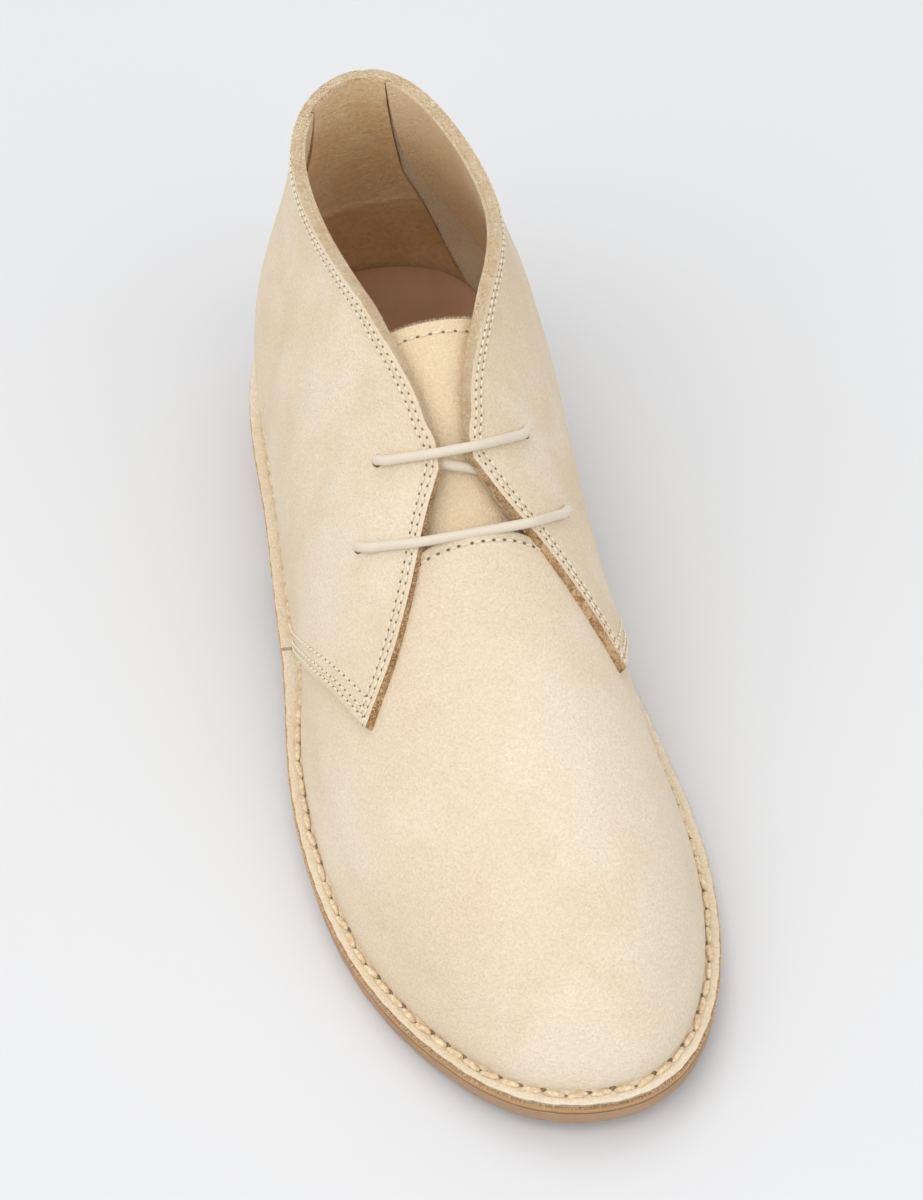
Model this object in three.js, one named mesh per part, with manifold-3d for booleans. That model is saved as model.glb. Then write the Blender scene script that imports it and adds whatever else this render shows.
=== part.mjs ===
// Chukka boot for the right foot: a low suede boot with two open-laced quarters, an
// upper turned outwards and stitched down to a midsole, a crepe outsole and a heel.
// Millimetres, +Z up, toe towards -Y, the medial side (big toe) towards +X.
import * as THREE from "three";
import { mergeVertices } from "three/addons/utils/BufferGeometryUtils.js";
import Module from "manifold-3d";

const wasm = await Module();
wasm.setup();

// Driving dimensions.
const soleLength = 300;
const ballWidth = 106;
const collarHeight = 115.5;
const heelLift = 12;
const toeSpring = 7;
const outsoleThickness = 5.3;
const midsoleThickness = 1.6;
const flangeThickness = 2;
const flangeWidth = 6;
const leatherThickness = 2;
const quarterProud = 1.6;
const quarterThickness = 2.3;
const quarterOverlap = 0.6;
const tongueThickness = 1.8;
const insoleThickness = 4;
const laceDiameter = 2.7;
const gap = 0.3;

// The tables below are drawn for these sizes and follow the driving dimensions from there.
const drawn = { soleLength: 300, ballWidth: 106, collarHeight: 115.5 };
const lengthScale = soleLength / drawn.soleLength;
const widthScale = ballWidth / drawn.ballWidth;
const heightScale = collarHeight / drawn.collarHeight;
const heelToOrigin = soleLength / 2;

// Sections of the last, from the toe tip back to the heel. "seam" is where the upper meets
// the sole, "crown" is the ridge of the instep or, behind it, the collar's top line.
// "bulge" and "rise" steer each section above the seam, "spread" and "drop" below the crown.
const lastColumns = ["seamAlong", "seamLateral", "seamMedial", "crownAlong", "crownCentre",
  "crownHalf", "crownHeight", "bulgeLateral", "bulgeMedial", "rise", "spread", "drop"];
const lastRows = [
  [294, 11, 11, 240, 4, 0, 54, 3, 3, 16, 30, 8],
  [289, -7, 26, 240, 4, 0, 54, 3, 3, 16, 29, 7],
  [274, -22, 37, 240, 4, 0, 54, 3, 3, 17, 27, 5],
  [252, -35, 44, 240, 4, 0, 54, 3, 3, 19, 26, 1],
  [226, -43.5, 46.5, 222, 3, 0, 59, 3, 3, 22, 27, 0],
  [198, -47, 44.5, 198, 2, 0, 67, 3, 3, 26, 27, 0],
  [172, -46.5, 40.5, 174, 1, 0, 80.5, 4, 6, 32, 26, 0],
  [145, -43.5, 36, 152, 0, 0, 99, 6, 11, 36, 26, 2],
  [118, -42, 34, 134, 0, 0, 114.5, 8, 14, 38, 26, 8],
  [90, -40.5, 34, 106, 1.2, 18, 118, 9, 15, 40, 17, 26],
  [62, -40, 34.5, 74, 1.6, 25.1, 111.5, 9, 14, 38, 9, 32],
  [34, -36.5, 32, 42, -3, 23.7, 112, 8, 11, 36, 4, 32],
  [13, -25, 21, 20, -3.5, 14.5, 114, 8, 8, 32, 1, 34],
  [6, -2, -2, 13, -2, 0, 115.5, 8, 8, 32, 0, 34],
];

// Height of the seam above the flat sole: share of the heel lift and of the toe spring.
const soleLineColumns = ["along", "lift", "spring"];
const soleLineRows = [
  [0, 1, 0],
  [85, 0.96, 0],
  [120, 0.67, 0],
  [150, 0.29, 0],
  [175, 0.07, 0],
  [195, 0, 0],
  [238, 0, 0],
  [260, 0, 0.16],
  [280, 0, 0.5],
  [300, 0, 1],
];

// Edges of the leather panels. "row" counts sections from the heel (0) towards the toe (13),
// "height" runs from the seam (0) to the crown (1), "edge" from the bottom of a front edge to
// its top. Each front edge has a point in the middle, where its two tables meet.
const edgeColumns = ["edge", "row", "height"];
const quarterPoint = 0.5;
const quarterFronts = {
  lateral: {
    below: [[0, 5.7, 0], [0.25, 6.7, 0.27], [0.4, 7.4, 0.43], [0.5, 8, 0.535]],
    above: [[0.5, 8, 0.535], [0.65, 7.58, 0.67], [0.78, 7.05, 0.78], [0.9, 6.5, 0.867], [1, 6.05, 0.945]],
  },
  medial: {
    below: [[0, 6.1, 0], [0.25, 6.7, 0.18], [0.4, 7.2, 0.33], [0.5, 7.65, 0.444]],
    above: [[0.5, 7.65, 0.444], [0.65, 7.2, 0.6], [0.78, 6.8, 0.73], [0.9, 6.4, 0.855], [1, 6.0, 0.94]],
  },
};
const throatColumns = ["row", "height"];
const throatRows = [
  [0, 1],
  [3.3, 1],
  [4, 0.985],
  [4.5, 0.945],
  [5, 0.925],
  [5.5, 0.93],
  [5.8, 0.95],
  [6.1, 0.945],
];
const vampBackColumns = ["height", "row"];
const vampBacks = {
  lateral: [[0, 5.1], [0.28, 6.1], [0.5, 6.95], [0.7, 6.84], [0.85, 6.74], [1, 6.7]],
  medial: [[0, 5.1], [0.28, 6.1], [0.5, 6.9], [0.7, 6.74], [0.85, 6.69], [1, 6.7]],
};

// Eyelets, as row and height on each side.
const eyelets = {
  lowerLateral: { side: -1, row: 6.37, height: 0.63 },
  lowerMedial: { side: 1, row: 6.27, height: 0.59 },
  upperLateral: { side: -1, row: 5.73, height: 0.75 },
  upperMedial: { side: 1, row: 5.65, height: 0.72 },
};

// Table helpers.
function columnOf(rows, columns, name) {
  const index = columns.indexOf(name);
  return rows.map((row) => row[index]);
}

// Smooth curve through (xs, ys) that never swings past the values on either side.
function curveThrough(xs, ys) {
  const last = xs.length - 1;
  const steps = xs.slice(1).map((x, i) => (ys[i + 1] - ys[i]) / (x - xs[i]));
  const slopes = xs.map((_, i) => {
    if (i === 0) return steps[0];
    if (i === last) return steps[last - 1];
    const before = steps[i - 1];
    const after = steps[i];
    return before * after <= 0 ? 0 : (2 * before * after) / (before + after);
  });
  return (x) => {
    let i = 0;
    while (i < last - 1 && x > xs[i + 1]) i += 1;
    const width = xs[i + 1] - xs[i];
    const f = THREE.MathUtils.clamp((x - xs[i]) / width, 0, 1);
    const g = 1 - f;
    const rise = (1 + 2 * f) * g * g * ys[i] + f * f * (1 + 2 * g) * ys[i + 1];
    return rise + width * (f * g * g * slopes[i] - f * f * g * slopes[i + 1]);
  };
}

function tableCurve(rows, columns, from, to) {
  return curveThrough(columnOf(rows, columns, from), columnOf(rows, columns, to));
}

// The sections stand in a ring: heel, lateral side, toe, medial side, back to the heel.
const halfRing = lastRows.length - 1;
const ringSize = 2 * halfRing;

function ringValues(pick) {
  const lateral = lastRows.slice(1).reverse().map((row) => pick(row, -1));
  const medial = lastRows.slice(0, -1).map((row) => pick(row, 1));
  return [...lateral, ...medial];
}

// Spline controls whose curve passes through the values themselves.
function controlsThrough(values) {
  let controls = values.slice();
  for (let pass = 0; pass < 60; pass += 1) {
    const previous = controls;
    controls = values.map((value, i) => {
      const before = previous[(i + ringSize - 1) % ringSize];
      const after = previous[(i + 1) % ringSize];
      return (6 * value - before - after) / 4;
    });
  }
  return controls;
}

const lastColumn = (row, name) => row[lastColumns.indexOf(name)];
const bulgeOf = (row, side) => lastColumn(row, side < 0 ? "bulgeLateral" : "bulgeMedial");
const seamOf = (row, side) => lastColumn(row, side < 0 ? "seamLateral" : "seamMedial");
const crownOf = (row, side) => lastColumn(row, "crownCentre") + side * lastColumn(row, "crownHalf");
const ring = {
  seamAlong: controlsThrough(ringValues((row) => lastColumn(row, "seamAlong") * lengthScale)),
  seamAcross: controlsThrough(ringValues((row, side) => seamOf(row, side) * widthScale)),
  crownAlong: ringValues((row) => lastColumn(row, "crownAlong") * lengthScale),
  crownAcross: ringValues((row, side) => crownOf(row, side) * widthScale),
  crownHeight: ringValues((row) => lastColumn(row, "crownHeight") * heightScale),
  bulge: ringValues(bulgeOf),
  rise: ringValues((row) => lastColumn(row, "rise") * heightScale),
  spread: ringValues((row) => lastColumn(row, "spread")),
  drop: ringValues((row) => lastColumn(row, "drop")),
};

function ringAt(name, place) {
  const start = Math.floor(place);
  const f = place - start;
  const g = 1 - f;
  const weights = [g ** 3, 3 * f ** 3 - 6 * f ** 2 + 4, 3 * g ** 3 - 6 * g ** 2 + 4, f ** 3];
  return weights.reduce((sum, weight, k) => {
    const index = (start + k - 1 + 2 * ringSize) % ringSize;
    return sum + (weight / 6) * ring[name][index];
  }, 0);
}

const liftAt = tableCurve(soleLineRows, soleLineColumns, "along", "lift");
const springAt = tableCurve(soleLineRows, soleLineColumns, "along", "spring");
const stackHeight = outsoleThickness + midsoleThickness + flangeThickness + 2 * gap;

// Height of the flange's top face above the floor.
function seamHeight(along) {
  const place = along / lengthScale;
  return stackHeight + heelLift * liftAt(place) + toeSpring * springAt(place);
}

// A point of the last's surface in the boot's own axes.
function lastPoint(place, height) {
  const seam = new THREE.Vector2(ringAt("seamAcross", place), ringAt("seamAlong", place));
  const crown = new THREE.Vector2(ringAt("crownAcross", place), ringAt("crownAlong", place));
  const outwards = seam.clone().sub(crown).normalize();
  const low = seam.clone().addScaledVector(outwards, ringAt("bulge", place));
  const high = crown.clone().addScaledVector(outwards, ringAt("spread", place));
  const seamZ = seamHeight(seam.y);
  const crownZ = ringAt("crownHeight", place);
  const t = height;
  const s = 1 - t;
  const weights = [s ** 3, 3 * s * s * t, 3 * s * t * t, t ** 3];
  const plan = [seam, low, high, crown];
  const rises = [seamZ, seamZ + ringAt("rise", place), crownZ - ringAt("drop", place), crownZ];
  const point = new THREE.Vector3();
  weights.forEach((weight, i) => {
    point.x += weight * plan[i].x;
    point.y += weight * (heelToOrigin - plan[i].y);
    point.z += weight * rises[i];
  });
  return point;
}

// Outward direction of the surface. Along the closed ridge it follows the ridge's slope.
function lastNormal(place, height) {
  const step = 0.002;
  const fromToe = Math.abs(place - halfRing);
  if (height > 0.999 && fromToe < 7.2) {
    const middle = Math.max(fromToe, 3);
    const ahead = lastPoint(halfRing + middle - 1, 1);
    const behind = lastPoint(halfRing + middle + 1, 1);
    return new THREE.Vector3(0, ahead.z - behind.z, behind.y - ahead.y).normalize();
  }
  const top = Math.min(height + step, 1);
  const along = lastPoint(place + step, height).sub(lastPoint(place - step, height));
  const up = lastPoint(place, top).sub(lastPoint(place, top - 2 * step));
  return along.cross(up).normalize();
}

function shellPoint(place, height, offset) {
  return lastPoint(place, height).addScaledVector(lastNormal(place, height), offset);
}

// Place in the ring of a section counted from the heel on one side.
const ringPlace = (side, row) => (side < 0 ? row : ringSize - row);

// Closed meshes from grids of points.
class Skin {
  constructor() {
    this.corners = [];
  }

  triangle(a, b, c) {
    this.corners.push(a, b, c);
  }

  quad(a, b, c, d) {
    this.triangle(a, b, c);
    this.triangle(a, c, d);
  }

  grid(points, flip) {
    for (let i = 0; i + 1 < points.length; i += 1) {
      for (let j = 0; j + 1 < points[i].length; j += 1) {
        const around = [points[i][j], points[i + 1][j], points[i + 1][j + 1], points[i][j + 1]];
        if (flip) around.reverse();
        this.quad(...around);
      }
    }
  }

  solid() {
    const geometry = new THREE.BufferGeometry().setFromPoints(this.corners);
    return solidOf(geometry);
  }
}

// A manifold solid from a closed geometry: shared corners joined, collapsed faces dropped.
function solidOf(geometry) {
  geometry.deleteAttribute("normal");
  geometry.deleteAttribute("uv");
  const merged = mergeVertices(geometry, 1e-3);
  const source = merged.index.array;
  const corners = [];
  for (let i = 0; i < source.length; i += 3) {
    const [a, b, c] = [source[i], source[i + 1], source[i + 2]];
    if (a !== b && b !== c && a !== c) corners.push(a, b, c);
  }
  const place = (index) => new THREE.Vector3().fromBufferAttribute(merged.attributes.position, index);
  let volume = 0;
  for (let i = 0; i < corners.length; i += 3) {
    volume += place(corners[i]).dot(place(corners[i + 1]).cross(place(corners[i + 2])));
  }
  if (volume < 0) corners.reverse();
  return new wasm.Manifold(new wasm.Mesh({
    numProp: 3,
    vertProperties: new Float32Array(merged.attributes.position.array),
    triVerts: new Uint32Array(corners),
  }));
}

// A leather sheet between two grids of points, closed along its four edges.
function sheetSolid(outer, inner) {
  const skin = new Skin();
  const lastI = outer.length - 1;
  const lastJ = outer[0].length - 1;
  skin.grid(outer, false);
  skin.grid(inner, true);
  skin.grid([inner.map((line) => line[0]), outer.map((line) => line[0])], true);
  skin.grid([inner.map((line) => line[lastJ]), outer.map((line) => line[lastJ])], false);
  skin.grid([inner[0], outer[0]], false);
  skin.grid([inner[lastI], outer[lastI]], true);
  return skin.solid();
}

// Solid between stacked outlines of the sole, its first and last outline closed across.
function slabSolid(outlines) {
  const skin = new Skin();
  const count = outlines[0].length;
  for (let k = 0; k + 1 < outlines.length; k += 1) {
    for (let i = 0; i < count; i += 1) {
      const next = (i + 1) % count;
      skin.quad(outlines[k][i], outlines[k][next], outlines[k + 1][next], outlines[k + 1][i]);
    }
  }
  const top = outlines[outlines.length - 1];
  const bottom = outlines[0];
  for (let i = 0; i < count / 2; i += 1) {
    const next = i + 1;
    const across = (count - i) % count;
    const acrossNext = count - next;
    skin.quad(top[i], top[next], top[acrossNext], top[across]);
    skin.quad(bottom[across], bottom[acrossNext], bottom[next], bottom[i]);
  }
  return skin.solid();
}

// One outline around the sole, "outset" outside the seam, "level" above the flange's top.
const outlineSteps = 72;

function outline(outset, levelAt) {
  const step = 0.01;
  return Array.from({ length: outlineSteps }, (_, i) => {
    const place = (i * ringSize) / outlineSteps;
    const along = ringAt("seamAlong", place);
    const across = ringAt("seamAcross", place);
    const dAlong = ringAt("seamAlong", place + step) - ringAt("seamAlong", place - step);
    const dAcross = ringAt("seamAcross", place + step) - ringAt("seamAcross", place - step);
    const size = Math.hypot(dAlong, dAcross);
    const x = across - (outset * dAlong) / size;
    const edgeAlong = along + (outset * dAcross) / size;
    return new THREE.Vector3(x, heelToOrigin - edgeAlong, levelAt(edgeAlong, along));
  });
}

const levelBelow = (depth) => (_, along) => seamHeight(along) - depth;

// Quarters: one sheet from the lateral front edge round the heel to the medial one.
const throatAt = tableCurve(throatRows, throatColumns, "row", "height");

function frontEdge(side, edge) {
  const tables = quarterFronts[side < 0 ? "lateral" : "medial"];
  const table = edge < quarterPoint ? tables.below : tables.above;
  return {
    row: tableCurve(table, edgeColumns, "edge", "row")(edge),
    height: tableCurve(table, edgeColumns, "edge", "height")(edge),
  };
}

// "back" runs from the front edge (0) to the heel (1), "edge" from the seam to the top.
function quarterPlace(side, back, edge) {
  const front = frontEdge(side, edge);
  const topRow = frontEdge(side, 1).row;
  const topHeight = frontEdge(side, 1).height;
  const row = (1 - back) * front.row;
  const height = (1 - back) * (front.height - edge * topHeight) + edge * throatAt((1 - back) * topRow);
  return { row, height };
}

const seamSink = 0.012;

function quartersSolid() {
  const backSteps = 24;
  const edgeSteps = 12;
  const layer = (offset) => {
    const lines = [];
    for (let i = 0; i <= 2 * backSteps; i += 1) {
      const side = i < backSteps ? -1 : 1;
      const back = 1 - Math.abs(backSteps - i) / backSteps;
      const line = [];
      for (let j = 0; j <= edgeSteps; j += 1) {
        const edge = j / edgeSteps;
        const { row, height } = quarterPlace(side, back, edge);
        line.push(shellPoint(ringPlace(side, row), j === 0 ? -seamSink : height, offset));
      }
      lines.push(line);
    }
    return lines;
  };
  return sheetSolid(layer(quarterProud), layer(quarterProud - quarterThickness));
}

// Vamp: a fan from the lateral back edge round the toe to the medial one, closed along the ridge.
const vampBackAt = {
  lateral: tableCurve(vampBacks.lateral, vampBackColumns, "height", "row"),
  medial: tableCurve(vampBacks.medial, vampBackColumns, "height", "row"),
};
const vampOffset = quarterProud - quarterThickness + quarterOverlap;

function vampSolid() {
  const fanSteps = 20;
  const heightSteps = 9;
  const layer = (offset) => {
    const lines = [];
    for (let i = -fanSteps; i <= fanSteps; i += 1) {
      const line = [];
      for (let j = 0; j <= heightSteps; j += 1) {
        const height = j / heightSteps;
        const reach = halfRing - vampBackAt[i < 0 ? "lateral" : "medial"](height);
        const place = halfRing + (i / fanSteps) * reach;
        line.push(shellPoint(place, j === 0 ? -seamSink : height, offset));
      }
      lines.push(line);
    }
    return lines;
  };
  return sheetSolid(layer(vampOffset), layer(vampOffset - leatherThickness));
}

// Flange: the bottom of the upper, turned out flat over the sole.
function flangeSolid() {
  const skin = new Skin();
  const inset = leatherThickness - vampOffset;
  const rings = [
    outline(flangeWidth, levelBelow(0)),
    outline(-inset, levelBelow(0)),
    outline(-inset, levelBelow(flangeThickness)),
    outline(flangeWidth, levelBelow(flangeThickness)),
  ];
  rings.forEach((outer, k) => {
    const inner = rings[(k + 1) % rings.length];
    skin.grid([[...outer, outer[0]], [...inner, inner[0]]], false);
  });
  return skin.solid();
}

// Tongue: stitched under the vamp's back edge and rising under the quarters to the throat.
const tongueColumns = ["row", "offset", "arch"];
const tongueRows = [
  [4.4, -4.1, 1.15],
  [5, -4.3, 1.05],
  [6.5, -4.3, 1],
  [6.9, -2.9, 1],
  [7.1, -2.9, 1],
];
const tongueSide = 0.66;
const tongueShoulder = 0.84;

function tongueSolid() {
  const stations = 14;
  const sideSteps = 3;
  const archSteps = 8;
  const [topRow, bottomRow] = [tongueRows[0][0], tongueRows[tongueRows.length - 1][0]];
  const offsetAt = tableCurve(tongueRows, tongueColumns, "row", "offset");
  const archAt = tableCurve(tongueRows, tongueColumns, "row", "arch");
  const sidePoint = (side, row, height, depth) =>
    shellPoint(ringPlace(side, row), height, offsetAt(row) - depth);
  const section = (row, depth) => {
    const flank = (side) => Array.from({ length: sideSteps + 1 }, (_, k) =>
      sidePoint(side, row, tongueSide + ((tongueShoulder - tongueSide) * k) / sideSteps, depth));
    const lateral = flank(-1);
    const medial = flank(1);
    const [start, end] = [lateral[sideSteps], medial[sideSteps]];
    const reach = (archAt(row) * start.distanceTo(end)) / 3;
    const tangent = (line) => line[sideSteps].clone().sub(line[sideSteps - 1]).normalize();
    const arch = new THREE.CubicBezierCurve3(start, start.clone().addScaledVector(tangent(lateral), reach),
      end.clone().addScaledVector(tangent(medial), reach), end);
    return [...lateral.slice(0, -1), ...arch.getPoints(archSteps), ...medial.slice(0, -1).reverse()];
  };
  const layer = (depth) => Array.from({ length: stations + 1 }, (_, i) =>
    section(bottomRow + ((topRow - bottomRow) * i) / stations, depth));
  return sheetSolid(layer(0), layer(tongueThickness));
}

// Lace: one cord through four eyelets. Each stop is a side, row, height and offset. It comes
// down on an eyelet from above, "aboveEyelet" in height, and passes the leather on a slant.
const laceClear = gap + 0.1;
const laceOutside = quarterProud + laceDiameter / 2 + laceClear;
const laceInside = quarterProud - quarterThickness - laceDiameter / 2 - laceClear;
const laceThrough = (laceOutside + laceInside) / 2;
const laceSides = 8;
const laceSteps = 96;

function laceStop(side, row, height, offset) {
  return shellPoint(ringPlace(side, row), height, offset);
}

const eyeletPassage = {
  aboveEyelet: 0.035,
  slant: 0.004,
  outer: 1.6,
  inner: -1.2,
};

function eyeletStops(eyelet, goingIn) {
  const { side, row, height } = eyelet;
  const { aboveEyelet, slant, outer, inner } = eyeletPassage;
  const stops = [
    laceStop(side, row, height + aboveEyelet, laceOutside - 0.1),
    laceStop(side, row, height + slant, laceThrough + outer),
    laceStop(side, row, height - slant, laceThrough + inner),
  ];
  return goingIn ? stops : stops.reverse();
}

// Stops of a bar on its way up from an eyelet: share of the climb, share of the crown's sink.
const barClimb = [[0.3, 0], [0.6, 0], [0.85, 0.5]];
const crownTop = 0.9985;

function laceBar(from, to, crownRow, crownSink) {
  const rise = (eyelet) => barClimb.map(([share, sunk]) => {
    const height = eyelet.height + (1 - eyelet.height) * share;
    const row = eyelet.row + (crownRow - eyelet.row) * Math.sqrt(share);
    return laceStop(eyelet.side, row, height, laceOutside - crownSink * sunk);
  });
  const crown = laceStop(from.side, crownRow, crownTop, laceOutside - crownSink);
  return [...rise(from), crown, ...rise(to).reverse()];
}

function lacePath() {
  const { lowerLateral, lowerMedial, upperLateral, upperMedial } = eyelets;
  const under = (side, row, height) => laceStop(side, row, height, laceInside);
  const stops = [
    under(-1, 5.85, 0.7),
    under(-1, 6.0, 0.68),
    under(-1, 6.2, 0.64),
    ...eyeletStops(lowerLateral, false),
    ...laceBar(lowerLateral, lowerMedial, 6.77, 1.2),
    ...eyeletStops(lowerMedial, true),
    under(1, 6.22, 0.64),
    under(1, 6.16, 0.76),
    under(1, 6.1, 0.9),
    under(-1, 6.02, 0.97),
    under(-1, 5.9, 0.88),
    under(-1, 5.8, 0.79),
    ...eyeletStops(upperLateral, false),
    ...laceBar(upperLateral, upperMedial, 5.93, 0.4),
    ...eyeletStops(upperMedial, true),
    under(1, 5.6, 0.68),
    under(1, 5.56, 0.64),
  ];
  return new THREE.CatmullRomCurve3(stops, false, "centripetal");
}

function laceSolid(diameter) {
  const section = new THREE.Shape();
  for (let k = 0; k < laceSides; k += 1) {
    const angle = (2 * Math.PI * k) / laceSides;
    const corner = [(diameter / 2) * Math.cos(angle), (diameter / 2) * Math.sin(angle)];
    if (k === 0) section.moveTo(...corner);
    else section.lineTo(...corner);
  }
  return solidOf(new THREE.ExtrudeGeometry(section, { steps: laceSteps, extrudePath: lacePath() }));
}

// The main body of a solid, without specks and pockets closed in between two sheets.
function largestPiece(solid) {
  const pieces = solid.decompose();
  return pieces.reduce((best, piece) => (piece.volume() > best.volume() ? piece : best));
}

// The upper: vamp, quarters and flange in one hollow piece, with holes where the lace passes.
function upperSolid() {
  const sewn = vampSolid().add(quartersSolid()).add(flangeSolid());
  const holed = sewn.subtract(laceSolid(laceDiameter + 2 * laceClear));
  return largestPiece(holed);
}

const insoleEdge = { clear: 0.5, bevelIn: 1.5, bevelDown: 1 };

function insoleSolid() {
  const inset = leatherThickness - vampOffset + insoleEdge.clear;
  const base = flangeThickness;
  return slabSolid([
    outline(-inset, levelBelow(base)),
    outline(-inset, levelBelow(base - insoleThickness + insoleEdge.bevelDown)),
    outline(-inset - insoleEdge.bevelIn, levelBelow(base - insoleThickness)),
  ]);
}

const midsoleWidth = flangeWidth + 0.2;

function midsoleSolid() {
  const top = flangeThickness + gap;
  return slabSolid([
    outline(midsoleWidth, levelBelow(top + midsoleThickness)),
    outline(midsoleWidth, levelBelow(top)),
  ]);
}

// Outsole: widths at its rounded tread edge, at its wall and at its top.
const outsoleWidths = { tread: flangeWidth - 1.4, wall: flangeWidth - 0.2, top: flangeWidth + 0.3 };
const treadRound = 1.3;

function outsoleSolid() {
  return slabSolid([
    outline(outsoleWidths.tread, levelBelow(stackHeight)),
    outline(outsoleWidths.wall, levelBelow(stackHeight - treadRound)),
    outline(outsoleWidths.top, levelBelow(stackHeight - outsoleThickness)),
  ]);
}

// Heel block: the rear of the sole's outline, its breast a shallow hollow scooped by a cylinder.
const heelWidths = { tread: flangeWidth - 2.4, wall: flangeWidth - 1.6, top: flangeWidth - 1.4 };
const heelRound = 0.8;
const heelLeast = 1.5;
const heelBreast = 96;
const breastRadius = 90;
const breastMiddle = { across: -3, depth: 7 };
const cutterSize = { width: 200, height: 80 };

function heelSolid() {
  const top = (_, along) => Math.max(seamHeight(along) - stackHeight - gap, heelLeast);
  const block = slabSolid([
    outline(heelWidths.tread, () => 0),
    outline(heelWidths.wall, () => heelRound),
    outline(heelWidths.top, top),
  ]);
  const rear = new THREE.BoxGeometry(cutterSize.width, heelBreast * 2, cutterSize.height);
  rear.translate(0, heelToOrigin, 0);
  const hollow = new THREE.CylinderGeometry(breastRadius, breastRadius, cutterSize.height, 96);
  hollow.rotateX(Math.PI / 2);
  hollow.translate(breastMiddle.across, heelToOrigin - heelBreast - breastRadius + breastMiddle.depth, 0);
  return block.intersect(solidOf(rear)).subtract(solidOf(hollow));
}

// Solids back to named meshes.
const finishes = {
  upper: { color: 0xe3d3b4, roughness: 0.95, metalness: 0 },
  tongue: { color: 0xe0cfae, roughness: 0.95, metalness: 0 },
  insole: { color: 0x9a7458, roughness: 0.7, metalness: 0 },
  midsole: { color: 0xb98652, roughness: 0.7, metalness: 0 },
  outsole: { color: 0x9d7650, roughness: 0.75, metalness: 0 },
  heel: { color: 0x947050, roughness: 0.75, metalness: 0 },
  lace: { color: 0xe6dac4, roughness: 0.9, metalness: 0 },
};

function meshOf(name, solid) {
  const { numProp, vertProperties, triVerts } = solid.getMesh();
  const geometry = new THREE.BufferGeometry();
  const positions = new THREE.InterleavedBuffer(vertProperties, numProp);
  geometry.setAttribute("position", new THREE.InterleavedBufferAttribute(positions, 3, 0));
  geometry.setIndex(new THREE.BufferAttribute(triVerts, 1));
  const mesh = new THREE.Mesh(geometry, new THREE.MeshStandardMaterial(finishes[name]));
  mesh.name = name;
  return mesh;
}

const boot = new THREE.Group();
boot.add(
  meshOf("outsole", outsoleSolid()),
  meshOf("heel", heelSolid()),
  meshOf("midsole", midsoleSolid()),
  meshOf("insole", insoleSolid()),
  meshOf("upper", upperSolid()),
  meshOf("tongue", tongueSolid()),
  meshOf("lace", laceSolid(laceDiameter)),
);

// The origin is the middle of the boot's box, on the floor.
const box = new THREE.Box3().setFromObject(boot);
const middle = box.getCenter(new THREE.Vector3());
boot.position.set(-middle.x, -middle.y, -box.min.z);
boot.updateMatrixWorld(true);

export default boot;
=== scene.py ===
import math
import bpy
import numpy as np
from mathutils import Matrix, Vector
from mathutils.bvhtree import BVHTree


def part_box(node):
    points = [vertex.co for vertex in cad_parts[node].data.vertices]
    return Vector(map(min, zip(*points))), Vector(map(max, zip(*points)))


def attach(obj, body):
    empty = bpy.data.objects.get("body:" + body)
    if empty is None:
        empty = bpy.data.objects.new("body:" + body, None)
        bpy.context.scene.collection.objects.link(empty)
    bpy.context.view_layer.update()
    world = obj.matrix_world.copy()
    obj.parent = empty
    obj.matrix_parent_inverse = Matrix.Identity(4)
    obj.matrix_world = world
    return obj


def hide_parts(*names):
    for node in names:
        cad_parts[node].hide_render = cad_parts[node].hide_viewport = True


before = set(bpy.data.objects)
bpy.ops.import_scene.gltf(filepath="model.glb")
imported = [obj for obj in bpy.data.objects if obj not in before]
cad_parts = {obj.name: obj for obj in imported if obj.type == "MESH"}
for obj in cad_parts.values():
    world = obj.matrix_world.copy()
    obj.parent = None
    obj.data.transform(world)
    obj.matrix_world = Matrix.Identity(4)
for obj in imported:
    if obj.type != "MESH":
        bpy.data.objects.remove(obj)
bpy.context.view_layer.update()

print("frame loaded")

# Right-foot chukka boot. Shapes are worked out in millimetres, along = distance from the
# heel end, then set down in the frame in metres with the toe towards -Y.
mm = 0.001
heelEnd = 150

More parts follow.
